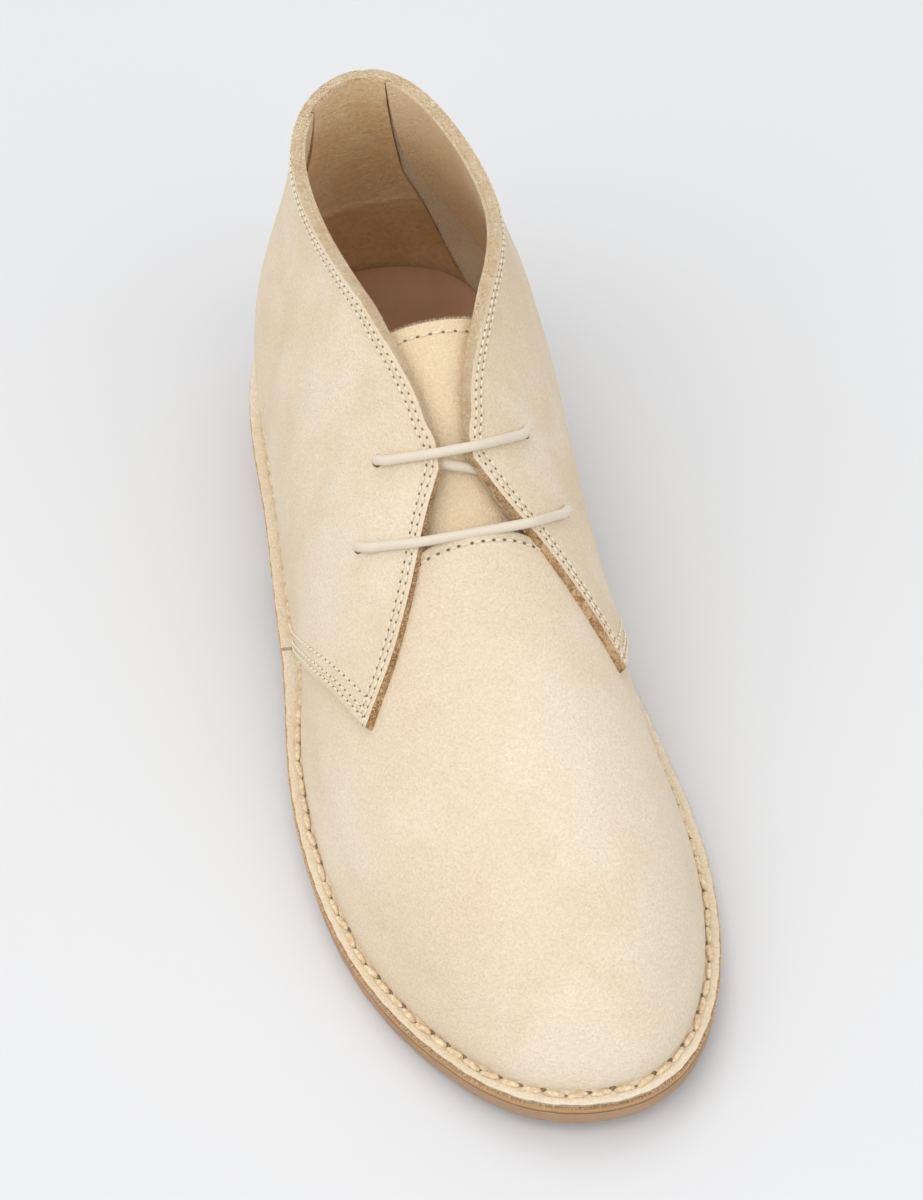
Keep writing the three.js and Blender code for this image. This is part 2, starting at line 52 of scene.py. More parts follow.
last = {
    # seam = where the upper meets the sole, crown = ridge of the instep or top of the collar
    "columns": ["seamAlong", "seamLateral", "seamMedial", "crownAlong", "crownCentre", "crownHalf",
                "crownHeight", "bulgeLateral", "bulgeMedial", "rise", "spread", "drop"],
    "sections": [
        [294, 11, 11, 240, 4, 0, 54, 3, 3, 16, 30, 8],
        [289, -7, 26, 240, 4, 0, 54, 3, 3, 16, 29, 7],
        [274, -22, 37, 240, 4, 0, 54, 3, 3, 17, 27, 5],
        [252, -35, 44, 240, 4, 0, 54, 3, 3, 19, 26, 1],
        [226, -43.5, 46.5, 222, 3, 0, 59, 3, 3, 22, 27, 0],
        [198, -47, 44.5, 198, 2, 0, 67, 3, 3, 26, 27, 0],
        [172, -46.5, 40.5, 174, 1, 0, 80.5, 4, 6, 32, 26, 0],
        [145, -43.5, 36, 152, 0, 0, 99, 6, 11, 36, 26, 2],
        [118, -42, 34, 134, 0, 0, 114.5, 8, 14, 38, 26, 8],
        [90, -40.5, 34, 106, 1.2, 18, 118, 9, 15, 40, 17, 26],
        [62, -40, 34.5, 74, 1.6, 25.1, 111.5, 9, 14, 38, 9, 32],
        [34, -36.5, 32, 42, -3, 23.7, 112, 8, 11, 36, 4, 32],
        [13, -25, 21, 20, -3.5, 14.5, 114, 8, 8, 32, 1, 34],
        [6, -2, -2, 13, -2, 0, 115.5, 8, 8, 32, 0, 34],
    ],
    # along, share of the heel lift, share of the toe spring
    "soleLine": [[0, 1, 0], [85, 0.96, 0], [120, 0.67, 0], [150, 0.29, 0], [175, 0.07, 0],
                 [195, 0, 0], [238, 0, 0], [260, 0, 0.16], [280, 0, 0.5], [300, 0, 1]],
    "heelLift": 12,
    "toeSpring": 7,
    "stack": 9.5,            # outsole, midsole, flange and the gaps between
    "passes": 60,
    "ridge": 7.2,            # sections from the toe along which the top is a ridge
    "ridgeStart": 3,
}
halfRing = len(last["sections"]) - 1
ringSize = 2 * halfRing


def curveThrough(rows, fromColumn=0, toColumn=1):
    xs = np.array([row[fromColumn] for row in rows], float)
    ys = np.array([row[toColumn] for row in rows], float)
    steps = np.diff(ys) / np.diff(xs)
    slopes = np.concatenate([steps[:1], np.zeros(len(xs) - 2), steps[-1:]])
    before, after = steps[:-1], steps[1:]
    same = before * after > 0
    slopes[1:-1][same] = (2 * before * after)[same] / (before + after)[same]

    def curve(x):
        x = np.asarray(x, float)
        i = np.clip(np.searchsorted(xs, x, "right") - 1, 0, len(xs) - 2)
        width = xs[i + 1] - xs[i]
        f = np.clip((x - xs[i]) / width, 0, 1)
        g = 1 - f
        flat = (1 + 2 * f) * g * g * ys[i] + f * f * (1 + 2 * g) * ys[i + 1]
        return flat + width * (f * g * g * slopes[i] - f * f * g * slopes[i + 1])
    return curve


def ringValues(name, medialName=None, spread=None):
    column = last["columns"].index
    values = []
    order = [(row, -1) for row in last["sections"][:0:-1]] + [(row, 1) for row in last["sections"][:-1]]
    for row, side in order:
        value = row[column(name if side < 0 or medialName is None else medialName)]
        values.append(value + (side * row[column(spread)] if spread else 0))
    return np.array(values, float)


def controlsThrough(values):
    controls = values
    for _ in range(last["passes"]):
        controls = (6 * values - np.roll(controls, 1) - np.roll(controls, -1)) / 4
    return controls


ring = {
    "seamAlong": controlsThrough(ringValues("seamAlong")),
    "seamAcross": controlsThrough(ringValues("seamLateral", "seamMedial")),
    "crownAlong": ringValues("crownAlong"),
    "crownAcross": ringValues("crownCentre", spread="crownHalf"),
    "crownHeight": ringValues("crownHeight"),
    "bulge": ringValues("bulgeLateral", "bulgeMedial"),
    "rise": ringValues("rise"),
    "spread": ringValues("spread"),
    "drop": ringValues("drop"),
}
liftAt = curveThrough(last["soleLine"], 0, 1)
springAt = curveThrough(last["soleLine"], 0, 2)


def ringAt(name, place):
    place = np.asarray(place, float)
    start = np.floor(place).astype(int)
    f = place - start
    g = 1 - f
    weights = [g ** 3, 3 * f ** 3 - 6 * f ** 2 + 4, 3 * g ** 3 - 6 * g ** 2 + 4, f ** 3]
    return sum(w * ring[name][(start + k - 1) % ringSize] for k, w in enumerate(weights)) / 6


def seamHeight(along):
    return last["stack"] + last["heelLift"] * liftAt(along) + last["toeSpring"] * springAt(along)


def bezier(t, controls):
    s = 1 - t
    weights = [s ** 3, 3 * s * s * t, 3 * s * t * t, t ** 3]
    return sum(w * p for w, p in zip(weights, controls))


def unit(vectors):
    return vectors / np.maximum(np.linalg.norm(vectors, axis=-1, keepdims=True), 1e-9)


def lastPoint(place, height):
    place, height = np.broadcast_arrays(np.asarray(place, float), np.asarray(height, float))
    seam = np.stack([ringAt("seamAcross", place), ringAt("seamAlong", place)], -1)
    crown = np.stack([ringAt("crownAcross", place), ringAt("crownAlong", place)], -1)
    outwards = unit(seam - crown)
    low = seam + outwards * ringAt("bulge", place)[..., None]
    high = crown + outwards * ringAt("spread", place)[..., None]
    seamZ = seamHeight(seam[..., 1])
    crownZ = ringAt("crownHeight", place)
    flat = bezier(height[..., None], [seam, low, high, crown])
    z = bezier(height, [seamZ, seamZ + ringAt("rise", place), crownZ - ringAt("drop", place), crownZ])
    return np.stack([flat[..., 0], heelEnd - flat[..., 1], z], -1)


def lastNormal(place, height, step=0.002):
    place, height = np.broadcast_arrays(np.asarray(place, float), np.asarray(height, float))
    top = np.minimum(height + step, 1)
    along = lastPoint(place + step, height) - lastPoint(place - step, height)
    up = lastPoint(place, top) - lastPoint(place, top - 2 * step)
    normal = unit(np.cross(along, up))
    fromToe = np.abs((place % ringSize) - halfRing)
    middle = np.maximum(fromToe, last["ridgeStart"])
    slope = lastPoint(halfRing + middle - 1, 1) - lastPoint(halfRing + middle + 1, 1)
    ridge = unit(np.stack([0 * middle, slope[..., 2], -slope[..., 1]], -1))
    onRidge = (height > 0.999) & (fromToe < last["ridge"])
    return np.where(onRidge[..., None], ridge, normal)


def shellPoint(place, height, offset):
    return lastPoint(place, height) + lastNormal(place, height) * np.asarray(offset, float)[..., None]


def seamOutwards(place, step=0.01):
    dAlong = ringAt("seamAlong", place + step) - ringAt("seamAlong", place - step)
    dAcross = ringAt("seamAcross", place + step) - ringAt("seamAcross", place - step)
    size = np.hypot(dAlong, dAcross)
    return -dAlong / size, dAcross / size


# a point beside the seam: outset outwards on the level, rise above the flange's top face
def edgePoint(place, outset, rise):
    place, outset, rise = np.broadcast_arrays(place, outset, rise)
    outX, outAlong = seamOutwards(place)
    along = ringAt("seamAlong", place)
    x = ringAt("seamAcross", place) + outset * outX
    return np.stack([x, heelEnd - along - outset * outAlong, seamHeight(along) + rise], -1)


def walked(line):
    return np.concatenate([[0], np.cumsum(np.linalg.norm(np.diff(line, axis=0), axis=1))])


# length round the sole, near the line of its stitches
ringSteps = np.linspace(0, ringSize, 2601)
soleLength = walked(edgePoint(ringSteps, 2.0, 0.0))


def lengthAt(place):
    return np.interp(np.asarray(place) % ringSize, ringSteps, soleLength)


# the frame centres the boot on its sole, so the drawing is shifted by the outsole's middle
outsoleReach = 6.3
soleRim = edgePoint(ringSteps, outsoleReach, 0.0)
outsoleLow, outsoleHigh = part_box("outsole")
shiftX = (outsoleLow.x + outsoleHigh.x) / 2 / mm - (soleRim[:, 0].min() + soleRim[:, 0].max()) / 2
shift = np.array([shiftX, 0, 0])
print("last drawn, shifted", round(float(shiftX), 3), "mm across")


def softStep(value, start, end):
    f = np.clip((np.asarray(value, float) - start) / (end - start), 0, 1)
    return f * f * (3 - 2 * f)


# slow uneven wobble, between -1 and 1
def wobble(value, seed=0.0):
    value = np.asarray(value, float)
    return (np.sin(value * 1.0 + seed * 1.7) + 0.6 * np.sin(value * 2.3 + seed * 3.1 + 1)
            + 0.4 * np.sin(value * 5.1 + seed * 0.7 + 2)) / 2


def deselectAll():
    if bpy.context.object and bpy.context.object.mode != "OBJECT":
        bpy.ops.object.mode_set(mode="OBJECT")
    bpy.ops.object.select_all(action="DESELECT")


def pickOnly(piece):
    deselectAll()
    piece.select_set(True)
    bpy.context.view_layer.objects.active = piece


def readPoints(piece):
    points = np.zeros(len(piece.data.vertices) * 3, np.float32)
    piece.data.vertices.foreach_get("co", points)
    return points.reshape(-1, 3).astype(float)


def writePoints(piece, points):
    piece.data.vertices.foreach_set("co", np.asarray(points, np.float32).ravel())
    piece.data.update()


def namePiece(piece, name):
    piece.name = name
    piece.data.name = name


# a primitive grid laid along columns and rows, each corner placed by placeAt in millimetres
def gridSheet(name, columns, rows, placeAt, marks=None):
    deselectAll()
    across, up = len(columns) - 1, len(rows) - 1
    bpy.ops.mesh.primitive_grid_add(x_subdivisions=across, y_subdivisions=up, size=2)
    sheet = bpy.context.active_object
    namePiece(sheet, name)
    spread = readPoints(sheet)
    column = columns[np.rint((spread[:, 0] + 1) / 2 * across).astype(int)]
    row = rows[np.rint((spread[:, 1] + 1) / 2 * up).astype(int)]
    writePoints(sheet, (placeAt(column, row) + shift) * mm)
    for markName, markAt in (marks or {}).items():
        mark = sheet.data.attributes.new(markName, "FLOAT", "POINT")
        mark.data.foreach_set("value", np.broadcast_to(markAt(column, row), column.shape).astype(np.float32))
    return sheet


def editAll(piece, operator, **settings):
    pickOnly(piece)
    bpy.ops.object.mode_set(mode="EDIT")
    bpy.ops.mesh.select_all(action="SELECT")
    operator(**settings)
    bpy.ops.mesh.select_all(action="DESELECT")
    bpy.ops.object.mode_set(mode="OBJECT")


def mergeClose(piece, distance=0.02):
    editAll(piece, bpy.ops.mesh.remove_doubles, threshold=distance * mm)


def applyModifier(piece, kind, **settings):
    pickOnly(piece)
    modifier = piece.modifiers.new(kind.title(), kind)
    for key, value in settings.items():
        setattr(modifier, key, value)
    bpy.ops.object.modifier_apply(modifier=modifier.name)


# leather thickness grows inwards from the sheet; the cut rim takes the second material
def thicken(sheet, thickness, bevel=0.35, slant=None, inside=0):
    applyModifier(sheet, "SOLIDIFY", thickness=thickness * mm, offset=-1, use_rim=True,
                  material_offset=inside, material_offset_rim=1, use_even_offset=False)
    if slant is not None:
        points = readPoints(sheet)
        points[len(slant):2 * len(slant)] += slant
        writePoints(sheet, points)
    if bevel:
        applyModifier(sheet, "BEVEL", width=bevel * mm, segments=2, limit_method="ANGLE",
                      angle_limit=math.radians(55), use_clamp_overlap=True)


def smoothShade(piece, angle=45):
    pickOnly(piece)
    bpy.ops.object.shade_smooth_by_angle(angle=math.radians(angle))


def giveMaterials(piece, *materials):
    piece.data.materials.clear()
    for material in materials:
        piece.data.materials.append(material)


def placePiece(piece, slot, *replaced, smooth=0):
    if smooth:
        smoothShade(piece, smooth)
    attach(piece, "root")
    for node in replaced:
        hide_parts(node)


def surfaceOf(piece):
    return BVHTree.FromObject(piece, bpy.context.evaluated_depsgraph_get())


# corners and faces of a primitive in a fixed order, as it makes them in a different one each run
def sortedShape(template):
    corners = readPoints(template)
    order = np.lexsort(np.round(corners, 7).T)
    rank = np.argsort(order).tolist()
    faces = []
    for polygon in template.data.polygons:
        face = [rank[v] for v in polygon.vertices]
        first = face.index(min(face))
        faces.append(tuple(face[first:] + face[:first]))
    return corners[order], sorted(faces)


# copies of one small template, each with its own spot and directions, joined in one mesh
def joinCopies(name, template, spots, alongs, ups):
    corners, faces = sortedShape(template)
    alongs, ups = unit(alongs), unit(ups)
    sides = unit(np.cross(ups, alongs))
    ups = np.cross(alongs, sides)
    points = (spots[:, None, :] + shift) * mm
    for k, axis in enumerate((alongs, sides, ups)):
        points = points + corners[None, :, k, None] * axis[:, None, :]
    count = len(corners)
    allFaces = [tuple(v + k * count for v in face) for k in range(len(spots)) for face in faces]
    mesh = bpy.data.meshes.new(name)
    mesh.from_pydata(points.reshape(-1, 3).tolist(), [], allFaces)
    mesh.polygons.foreach_set("use_smooth", [True] * len(allFaces))
    mesh.update()
    piece = bpy.data.objects.new(name, mesh)
    bpy.context.scene.collection.objects.link(piece)
    return piece


# sets a socket to a value, or links it when the value is another socket
def feed(tree, socket, value):
    if isinstance(value, bpy.types.NodeSocket):
        tree.links.new(value, socket)
    else:
        socket.default_value = (*value, 1.0) if isinstance(value, tuple) else value


def feedAll(tree, node, **values):
    for key, value in values.items():
        feed(tree, node.inputs[key.replace("_", " ")], value)
    return node


def newNode(tree, kind, at, **values):
    node = tree.nodes.new(kind)
    node.location = at
    for key, value in values.items():
        setattr(node, key, value)
    return node


def noiseNode(tree, at, vector, scale, detail=2.0, roughness=0.5, distortion=0.0):
    node = newNode(tree, "ShaderNodeTexNoise", at)
    feedAll(tree, node, Vector=vector, Scale=scale, Detail=detail, Roughness=roughness, Distortion=distortion)
    return node.outputs["Fac"]


def rangeNode(tree, at, value, fromMin, fromMax, toMin=0.0, toMax=1.0):
    node = newNode(tree, "ShaderNodeMapRange", at)
    feedAll(tree, node, Value=value, From_Min=fromMin, From_Max=fromMax, To_Min=toMin, To_Max=toMax)
    return node.outputs["Result"]


def mathNode(tree, at, operation, *values):
    node = newNode(tree, "ShaderNodeMath", at, operation=operation)
    for socket, value in zip(node.inputs, values):
        feed(tree, socket, value)
    return node.outputs["Value"]


def mixColour(tree, at, factor, first, second, blend="MIX"):
    node = newNode(tree, "ShaderNodeMix", at, data_type="RGBA", blend_type=blend)
    for index, value in ((0, factor), (6, first), (7, second)):
        feed(tree, node.inputs[index], value)
    return node.outputs[2]


def scaledVector(tree, at, vector, scale):
    node = newNode(tree, "ShaderNodeMapping", at)
    node.inputs["Scale"].default_value = scale
    tree.links.new(vector, node.inputs["Vector"])
    return node.outputs["Vector"]


def newGroup(name, inputs, outputs):
    group = bpy.data.node_groups.new(name, "ShaderNodeTree")
    for socketName, kind, value in inputs:
        socket = group.interface.new_socket(name=socketName, in_out="INPUT", socket_type="NodeSocket" + kind)
        if value is not None:
            socket.default_value = (*value, 1.0) if kind == "Color" else value
    for socketName, kind in outputs:
        group.interface.new_socket(name=socketName, in_out="OUTPUT", socket_type="NodeSocket" + kind)
    start = newNode(group, "NodeGroupInput", (-1400, 0))
    end = newNode(group, "NodeGroupOutput", (900, 0))
    return group, start.outputs, end.inputs


def groupNode(tree, at, group, **values):
    return feedAll(tree, newNode(tree, "ShaderNodeGroup", at, node_tree=group), **values)


def newMaterial(name, **surface):
    material = bpy.data.materials.new(name)
    material.use_nodes = True
    tree = material.node_tree
    shader = feedAll(tree, tree.nodes["Principled BSDF"], **surface)
    shader.location = (1200, 0)
    return material, tree, shader


def objectCoordinates(tree):
    return newNode(tree, "ShaderNodeTexCoord", (-1300, 0)).outputs["Object"]


def attributeValue(tree, at, name):
    return newNode(tree, "ShaderNodeAttribute", at, attribute_name=name).outputs["Fac"]


def bumpNormal(tree, shader, height, strength, distance):
    bump = newNode(tree, "ShaderNodeBump", (900, -300))
    feedAll(tree, bump, Height=height, Strength=strength, Distance=distance)
    feedAll(tree, shader, Normal=bump.outputs["Normal"])


# brushed suede: clouds where the nap lies light or dark, grain of the fibres, its colour darkened in the
# grain's valleys as painted shade
napGroup, napIn, napOut = newGroup(
    "suedeNap",
    [("Vector", "Vector", None), ("Cloud Scale", "Float", 18.0), ("Brush Scale", "Float", 75.0),
     ("Grain Scale", "Float", 1300.0), ("Base", "Color", (0.8, 0.7, 0.5)),
     ("Light", "Color", (0.9, 0.8, 0.6)), ("Dark", "Color", (0.6, 0.5, 0.35))],
    [("Color", "Color"), ("Height", "Float"), ("Roughness", "Float")])


def buildNap(tree, vector):
    cloud = noiseNode(tree, (-1100, 300), vector, napIn["Cloud Scale"], 3, 0.55, 0.4)
    brush = noiseNode(tree, (-1100, 50), vector, napIn["Brush Scale"], 2, 0.5, 0.8)
    grain = noiseNode(tree, (-1100, -200), vector, napIn["Grain Scale"], 3, 0.62)
    fibre = noiseNode(tree, (-1100, -450), vector, 2400, 2, 0.6, 0.3)
    patches = mathNode(tree, (-850, 200), "MULTIPLY_ADD", brush, 0.2, cloud)
    light = rangeNode(tree, (-650, 250), patches, 0.54, 0.86)
    dark = rangeNode(tree, (-650, 50), patches, 0.66, 0.34)
    lit = mixColour(tree, (-400, 250), light, napIn["Base"], napIn["Light"])
    shaded = mixColour(tree, (-200, 200), dark, lit, napIn["Dark"])
    # darker where the grain and fibres sink: the fibres' own speckle plus painted shade in the nap's valleys
    grainSpeckleAndShade = rangeNode(tree, (-650, -150), grain, 0.34, 0.66, 0.91, 1.05)
    fine = rangeNode(tree, (-650, -350), fibre, 0.3, 0.7, 0.95, 1.05)
    napSpeckleAndShade = mathNode(tree, (-400, -200), "MULTIPLY", grainSpeckleAndShade, fine)
    fuzz = mathNode(tree, (-400, -600), "MULTIPLY", fibre, 0.35)
    feed(tree, napOut["Color"], mixColour(tree, (50, 100), 1.0, shaded, napSpeckleAndShade, "MULTIPLY"))
    feed(tree, napOut["Height"], mathNode(tree, (-100, -500), "MULTIPLY_ADD", grain, 0.75, fuzz))
    feed(tree, napOut["Roughness"], rangeNode(tree, (-100, -700), brush, 0.3, 0.7, 0.98, 0.88))


buildNap(napGroup, napIn["Vector"])

# loose cut fibres: short uneven dashes
fibreGroup, fibreIn, fibreOut = newGroup(
    "cutFibres",
    [("Vector", "Vector", None), ("Scale", "Float", 1250.0),
     ("Pale", "Color", (0.8, 0.65, 0.45)), ("Deep", "Color", (0.4, 0.22, 0.1))],
    [("Color", "Color"), ("Height", "Float")])


def buildFibres(tree, vector):
    coarse = noiseNode(tree, (-900, 200), vector, fibreIn["Scale"], 4, 0.7, 1.2)
    slow = mathNode(tree, (-650, -150), "MULTIPLY", noiseNode(tree, (-900, -100), vector, 160, 2), 0.35)
    total = mathNode(tree, (-650, 100), "MULTIPLY_ADD", coarse, 0.75, slow)
    factor = rangeNode(tree, (-400, 100), total, 0.46, 0.62)
    feed(tree, fibreOut["Color"], mixColour(tree, (-150, 100), factor, fibreIn["Deep"], fibreIn["Pale"]))
    feed(tree, fibreOut["Height"], coarse)


buildFibres(fibreGroup, fibreIn["Vector"])
print("shared effects built")

suedeLook = {
    "sheen": 0.1,
    "sheenRoughness": 0.45,
    "sheenTint": (1.0, 0.93, 0.80),
    "bump": 0.8,
    "bumpDepth": 0.0008,
}


# deep tints the places where the attribute "deep" is high; on the heel lining that is the counter's darker
# tone together with painted depth shade low in the heel
def suedeMaterial(name, base, light, dark, cloud=18.0, brush=75.0, grain=1300.0,
                  sheen=suedeLook["sheen"], deep=None):
    material, tree, shader = newMaterial(
        name, Sheen_Weight=sheen, Sheen_Roughness=suedeLook["sheenRoughness"],
        Sheen_Tint=suedeLook["sheenTint"], Specular_IOR_Level=0.15)
    nap = groupNode(tree, (-300, 0), napGroup, Vector=objectCoordinates(tree), Cloud_Scale=cloud,
                    Brush_Scale=brush, Grain_Scale=grain, Base=base, Light=light, Dark=dark)
    colour = nap.outputs["Color"]
    if deep:
        darker = mixColour(tree, (300, 300), 1.0, colour, deep, "MULTIPLY")
        colour = mixColour(tree, (600, 200), attributeValue(tree, (-200, 400), "deep"), colour, darker)
    feedAll(tree, shader, Base_Color=colour, Roughness=nap.outputs["Roughness"])
    bumpNormal(tree, shader, nap.outputs["Height"], suedeLook["bump"], suedeLook["bumpDepth"])
    return material


suedeVamp = suedeMaterial("suedeVamp", (0.85, 0.725, 0.555), (0.875, 0.775, 0.625), (0.815, 0.665, 0.475))
suedeQuarter = suedeMaterial("suedeQuarter", (0.84, 0.705, 0.525), (0.87, 0.77, 0.62), (0.80, 0.65, 0.455),
                             24.0, 95.0)
suedeTongue = suedeMaterial("suedeTongue", (0.85, 0.70, 0.49), (0.87, 0.745, 0.555), (0.82, 0.655, 0.44))
facingSuede = suedeMaterial("facingSuede", (0.96, 0.75, 0.49), (0.97, 0.80, 0.56), (0.92, 0.68, 0.41),
                            26.0, 90.0, sheen=0.0)
bareSuede = suedeMaterial("bareSuede", (0.97, 0.84, 0.64), (0.98, 0.88, 0.71), (0.94, 0.78, 0.56),
                          26.0, 90.0, sheen=0.0)
# heel lining: its deep tint paints the counter's own darker tone plus painted depth shade below the counter
# line
heelSuede = suedeMaterial("heelSuede", (0.90, 0.66, 0.41), (0.93, 0.72, 0.48), (0.83, 0.57, 0.32),
                          40.0, 160.0, 620.0, sheen=0.0, deep=(0.84, 0.75, 0.67))


# cut leather edge: brown fibres on the front edges, paler where "brown" falls to 0
def edgeMaterial(name, pale, deep, softPale, softDeep):
    material, tree, shader = newMaterial(name, Specular_IOR_Level=0.1, Roughness=0.95,
                                         Sheen_Weight=0.05, Sheen_Roughness=0.5)
    coordinates = objectCoordinates(tree)
    cut = groupNode(tree, (-500, 150), fibreGroup, Vector=coordinates, Pale=pale, Deep=deep)
    soft = groupNode(tree, (-500, -150), fibreGroup, Vector=coordinates, Pale=softPale, Deep=softDeep)
    brown = attributeValue(tree, (-500, 400), "brown")
    feedAll(tree, shader, Base_Color=mixColour(tree, (0, 100), brown, soft.outputs["Color"],
                                               cut.outputs["Color"]))
    bumpNormal(tree, shader, cut.outputs["Height"], 1.0, 0.0012)
    return material


cutEdge = edgeMaterial("cutEdge", (0.90, 0.63, 0.36), (0.40, 0.19, 0.065),
                       (0.97, 0.82, 0.58), (0.86, 0.62, 0.37))


def threadMaterial(name, pale, deep, twist=900.0):
    material, tree, shader = newMaterial(name, Specular_IOR_Level=0.35, Sheen_Weight=0.15,
                                         Sheen_Roughness=0.4)
    strands = noiseNode(tree, (-700, 0), objectCoordinates(tree), twist, 2, 0.6)
    factor = rangeNode(tree, (-400, 0), strands, 0.35, 0.65)
    feedAll(tree, shader, Base_Color=mixColour(tree, (-100, 0), factor, deep, pale),
            Roughness=rangeNode(tree, (-100, -250), strands, 0.3, 0.7, 0.5, 0.75))
    bumpNormal(tree, shader, strands, 0.5, 0.0003)
    return material


looseFibre = threadMaterial("looseFibre", (0.93, 0.80, 0.60), (0.80, 0.62, 0.40), 1200.0)
heavyThread = threadMaterial("heavyThread", (0.88, 0.75, 0.53), (0.66, 0.48, 0.28))
fineThread = threadMaterial("fineThread", (0.90, 0.83, 0.68), (0.74, 0.63, 0.47), 1600.0)
# dark colour for the blobs over the stitch holes: painted shade of the holes
paintedHoleShade = threadMaterial("paintedHoleShade", (0.30, 0.20, 0.11), (0.15, 0.09, 0.045), 1600.0)


def laceMaterial():
    material, tree, shader = newMaterial("waxedLace", Specular_IOR_Level=0.4, Sheen_Weight=0.12,
                                         Sheen_Roughness=0.4, Coat_Weight=0.08, Coat_Roughness=0.45)
    uv = newNode(tree, "ShaderNodeUVMap", (-1500, 0), uv_map="UVMap").outputs["UV"]
    scaled = scaledVector(tree, (-1300, 0), uv, (150.0, 5.0, 1.0))
    braids = []
    for k, lean in enumerate((1.0, -1.0)):
        wave = newNode(tree, "ShaderNodeTexWave", (-1000, 200 - 300 * k), wave_type="BANDS",
                       bands_direction="DIAGONAL")
        turned = scaledVector(tree, (-1150, 200 - 300 * k), scaled, (1.0, lean, 1.0))
        feedAll(tree, wave, Vector=turned, Scale=1.6, Distortion=0.4, Detail=1.0)
        braids.append(wave.outputs["Fac"])
    weave = mathNode(tree, (-700, 0), "MAXIMUM", *braids)
    slow = noiseNode(tree, (-700, -300), objectCoordinates(tree), 140, 2)
    factor = rangeNode(tree, (-450, 0), weave, 0.3, 1.0)
    woven = mixColour(tree, (-150, 0), factor, (0.66, 0.56, 0.43), (0.84, 0.77, 0.65))
    worn = rangeNode(tree, (-450, -300), slow, 0.35, 0.7, 0.0, 0.35)
    feedAll(tree, shader, Base_Color=mixColour(tree, (150, 0), worn, woven, (0.80, 0.70, 0.54)),
            Roughness=rangeNode(tree, (150, -250), weave, 0.2, 1.0, 0.7, 0.5))
    bumpNormal(tree, shader, weave, 0.35, 0.0003)
    return material


waxedLace = laceMaterial()


def leatherMaterial(name, base, deep, shine):
    material, tree, shader = newMaterial(name, Specular_IOR_Level=0.35)
    coordinates = objectCoordinates(tree)
    slow = noiseNode(tree, (-700, 200), coordinates, 35, 3, 0.6, 0.5)
    pores = newNode(tree, "ShaderNodeTexVoronoi", (-700, -100), feature="F1")
    feedAll(tree, pores, Vector=coordinates, Scale=900.0, Randomness=1.0)
    grainy = rangeNode(tree, (-450, -100), pores.outputs["Distance"], 0.0, 0.6)
    factor = rangeNode(tree, (-450, 200), slow, 0.35, 0.7)
    colour = mixColour(tree, (-150, 200), factor, deep, base)
    pitted = mathNode(tree, (-150, -100), "MULTIPLY", grainy, 0.18)
    feedAll(tree, shader, Base_Color=mixColour(tree, (100, 100), pitted, colour, deep),
            Roughness=rangeNode(tree, (100, -200), slow, 0.3, 0.7, shine + 0.08, shine - 0.08))
    bumpNormal(tree, shader, grainy, 0.15, 0.0004)
    return material


insoleLeather = leatherMaterial("insoleLeather", (0.64, 0.40, 0.265), (0.54, 0.32, 0.20), 0.5)
midsoleEdge = leatherMaterial("midsoleEdge", (0.62, 0.39, 0.20), (0.50, 0.30, 0.15), 0.6)


# crepe rubber: smooth warm tan with a drawn grain, crumbly where the sole was cut
def crepeMaterial():
    material, tree, shader = newMaterial("crepeRubber", Specular_IOR_Level=0.35)
    coordinates = objectCoordinates(tree)
    flat = scaledVector(tree, (-1100, 0), coordinates, (1.0, 1.0, 5.0))
    slow = noiseNode(tree, (-800, 250), coordinates, 28, 3, 0.6, 0.6)
    drawn = noiseNode(tree, (-800, 0), flat, 130, 4, 0.65, 0.8)
    fine = noiseNode(tree, (-800, -250), coordinates, 1500, 3, 0.6)
    tan = mixColour(tree, (-400, 200), rangeNode(tree, (-600, 250), slow, 0.35, 0.68),
                    (0.40, 0.245, 0.135), (0.48, 0.305, 0.18))
    streaks = rangeNode(tree, (-600, 0), drawn, 0.45, 0.75, 0.0, 0.45)
    feedAll(tree, shader, Base_Color=mixColour(tree, (-150, 150), streaks, tan, (0.57, 0.41, 0.27)),
            Roughness=rangeNode(tree, (-150, -200), drawn, 0.3, 0.7, 0.52, 0.7))
    bumpNormal(tree, shader, mathNode(tree, (-400, -200), "MULTIPLY_ADD", fine, 0.5, drawn), 0.3, 0.0006)
    return material


crepeRubber = crepeMaterial()
print("materials made")

ringColumns = np.linspace(0, ringSize, 313)


# a slab between rows of (outset, level): below the flange's top, or above the floor
def slabPiece(name, shape, levelOf):
    profile, caps = shape["profile"], shape["cap"]
    bottom = [(profile[0][0], profile[0][1], share) for share in np.linspace(1, 0, caps + 1)[:-1]]
    walls = [(outset, level, 0.0) for outset, level in profile]
    top = [(profile[-1][0], profile[-1][1], share) for share in np.linspace(0, 1, caps + 1)[1:]]
    rows = np.array(bottom + walls + top)

    def placeAt(place, index):
        outset, level, share = rows[index.astype(int)].T
        outset = outset + shape["uneven"] * wobble(lengthAt(place) * 0.45, 1.0) * (share == 0)
        across = edgePoint(place, outset, 0.0)
        opposite = edgePoint(ringSize - place, outset, 0.0)
        points = across + (opposite - across) * (share / 2)[:, None]
        along = ringAt("seamAlong", place)
        points[:, 2] = levelOf(along, level)
        return points

    piece = gridSheet(name, ringColumns, np.arange(len(rows)), placeAt)
    mergeClose(piece)
    return piece


outsoleShape = {
    "profile": [(4.7, 0.0), (5.35, 0.28), (5.75, 0.9), (5.85, 1.6), (6.0, 3.0), (6.15, 4.4),
                (outsoleReach, 5.0), (6.15, 5.3)],
    "cap": 10,
    "uneven": 0.12,
}


def outsoleLevel(along, level):
    return seamHeight(along) - last["stack"] + level


outsole = slabPiece("outsolePiece", outsoleShape, outsoleLevel)
giveMaterials(outsole, crepeRubber)
placePiece(outsole, "crepe", "outsole", smooth=40)


def seamLevel(along, level):
    return seamHeight(along) + level


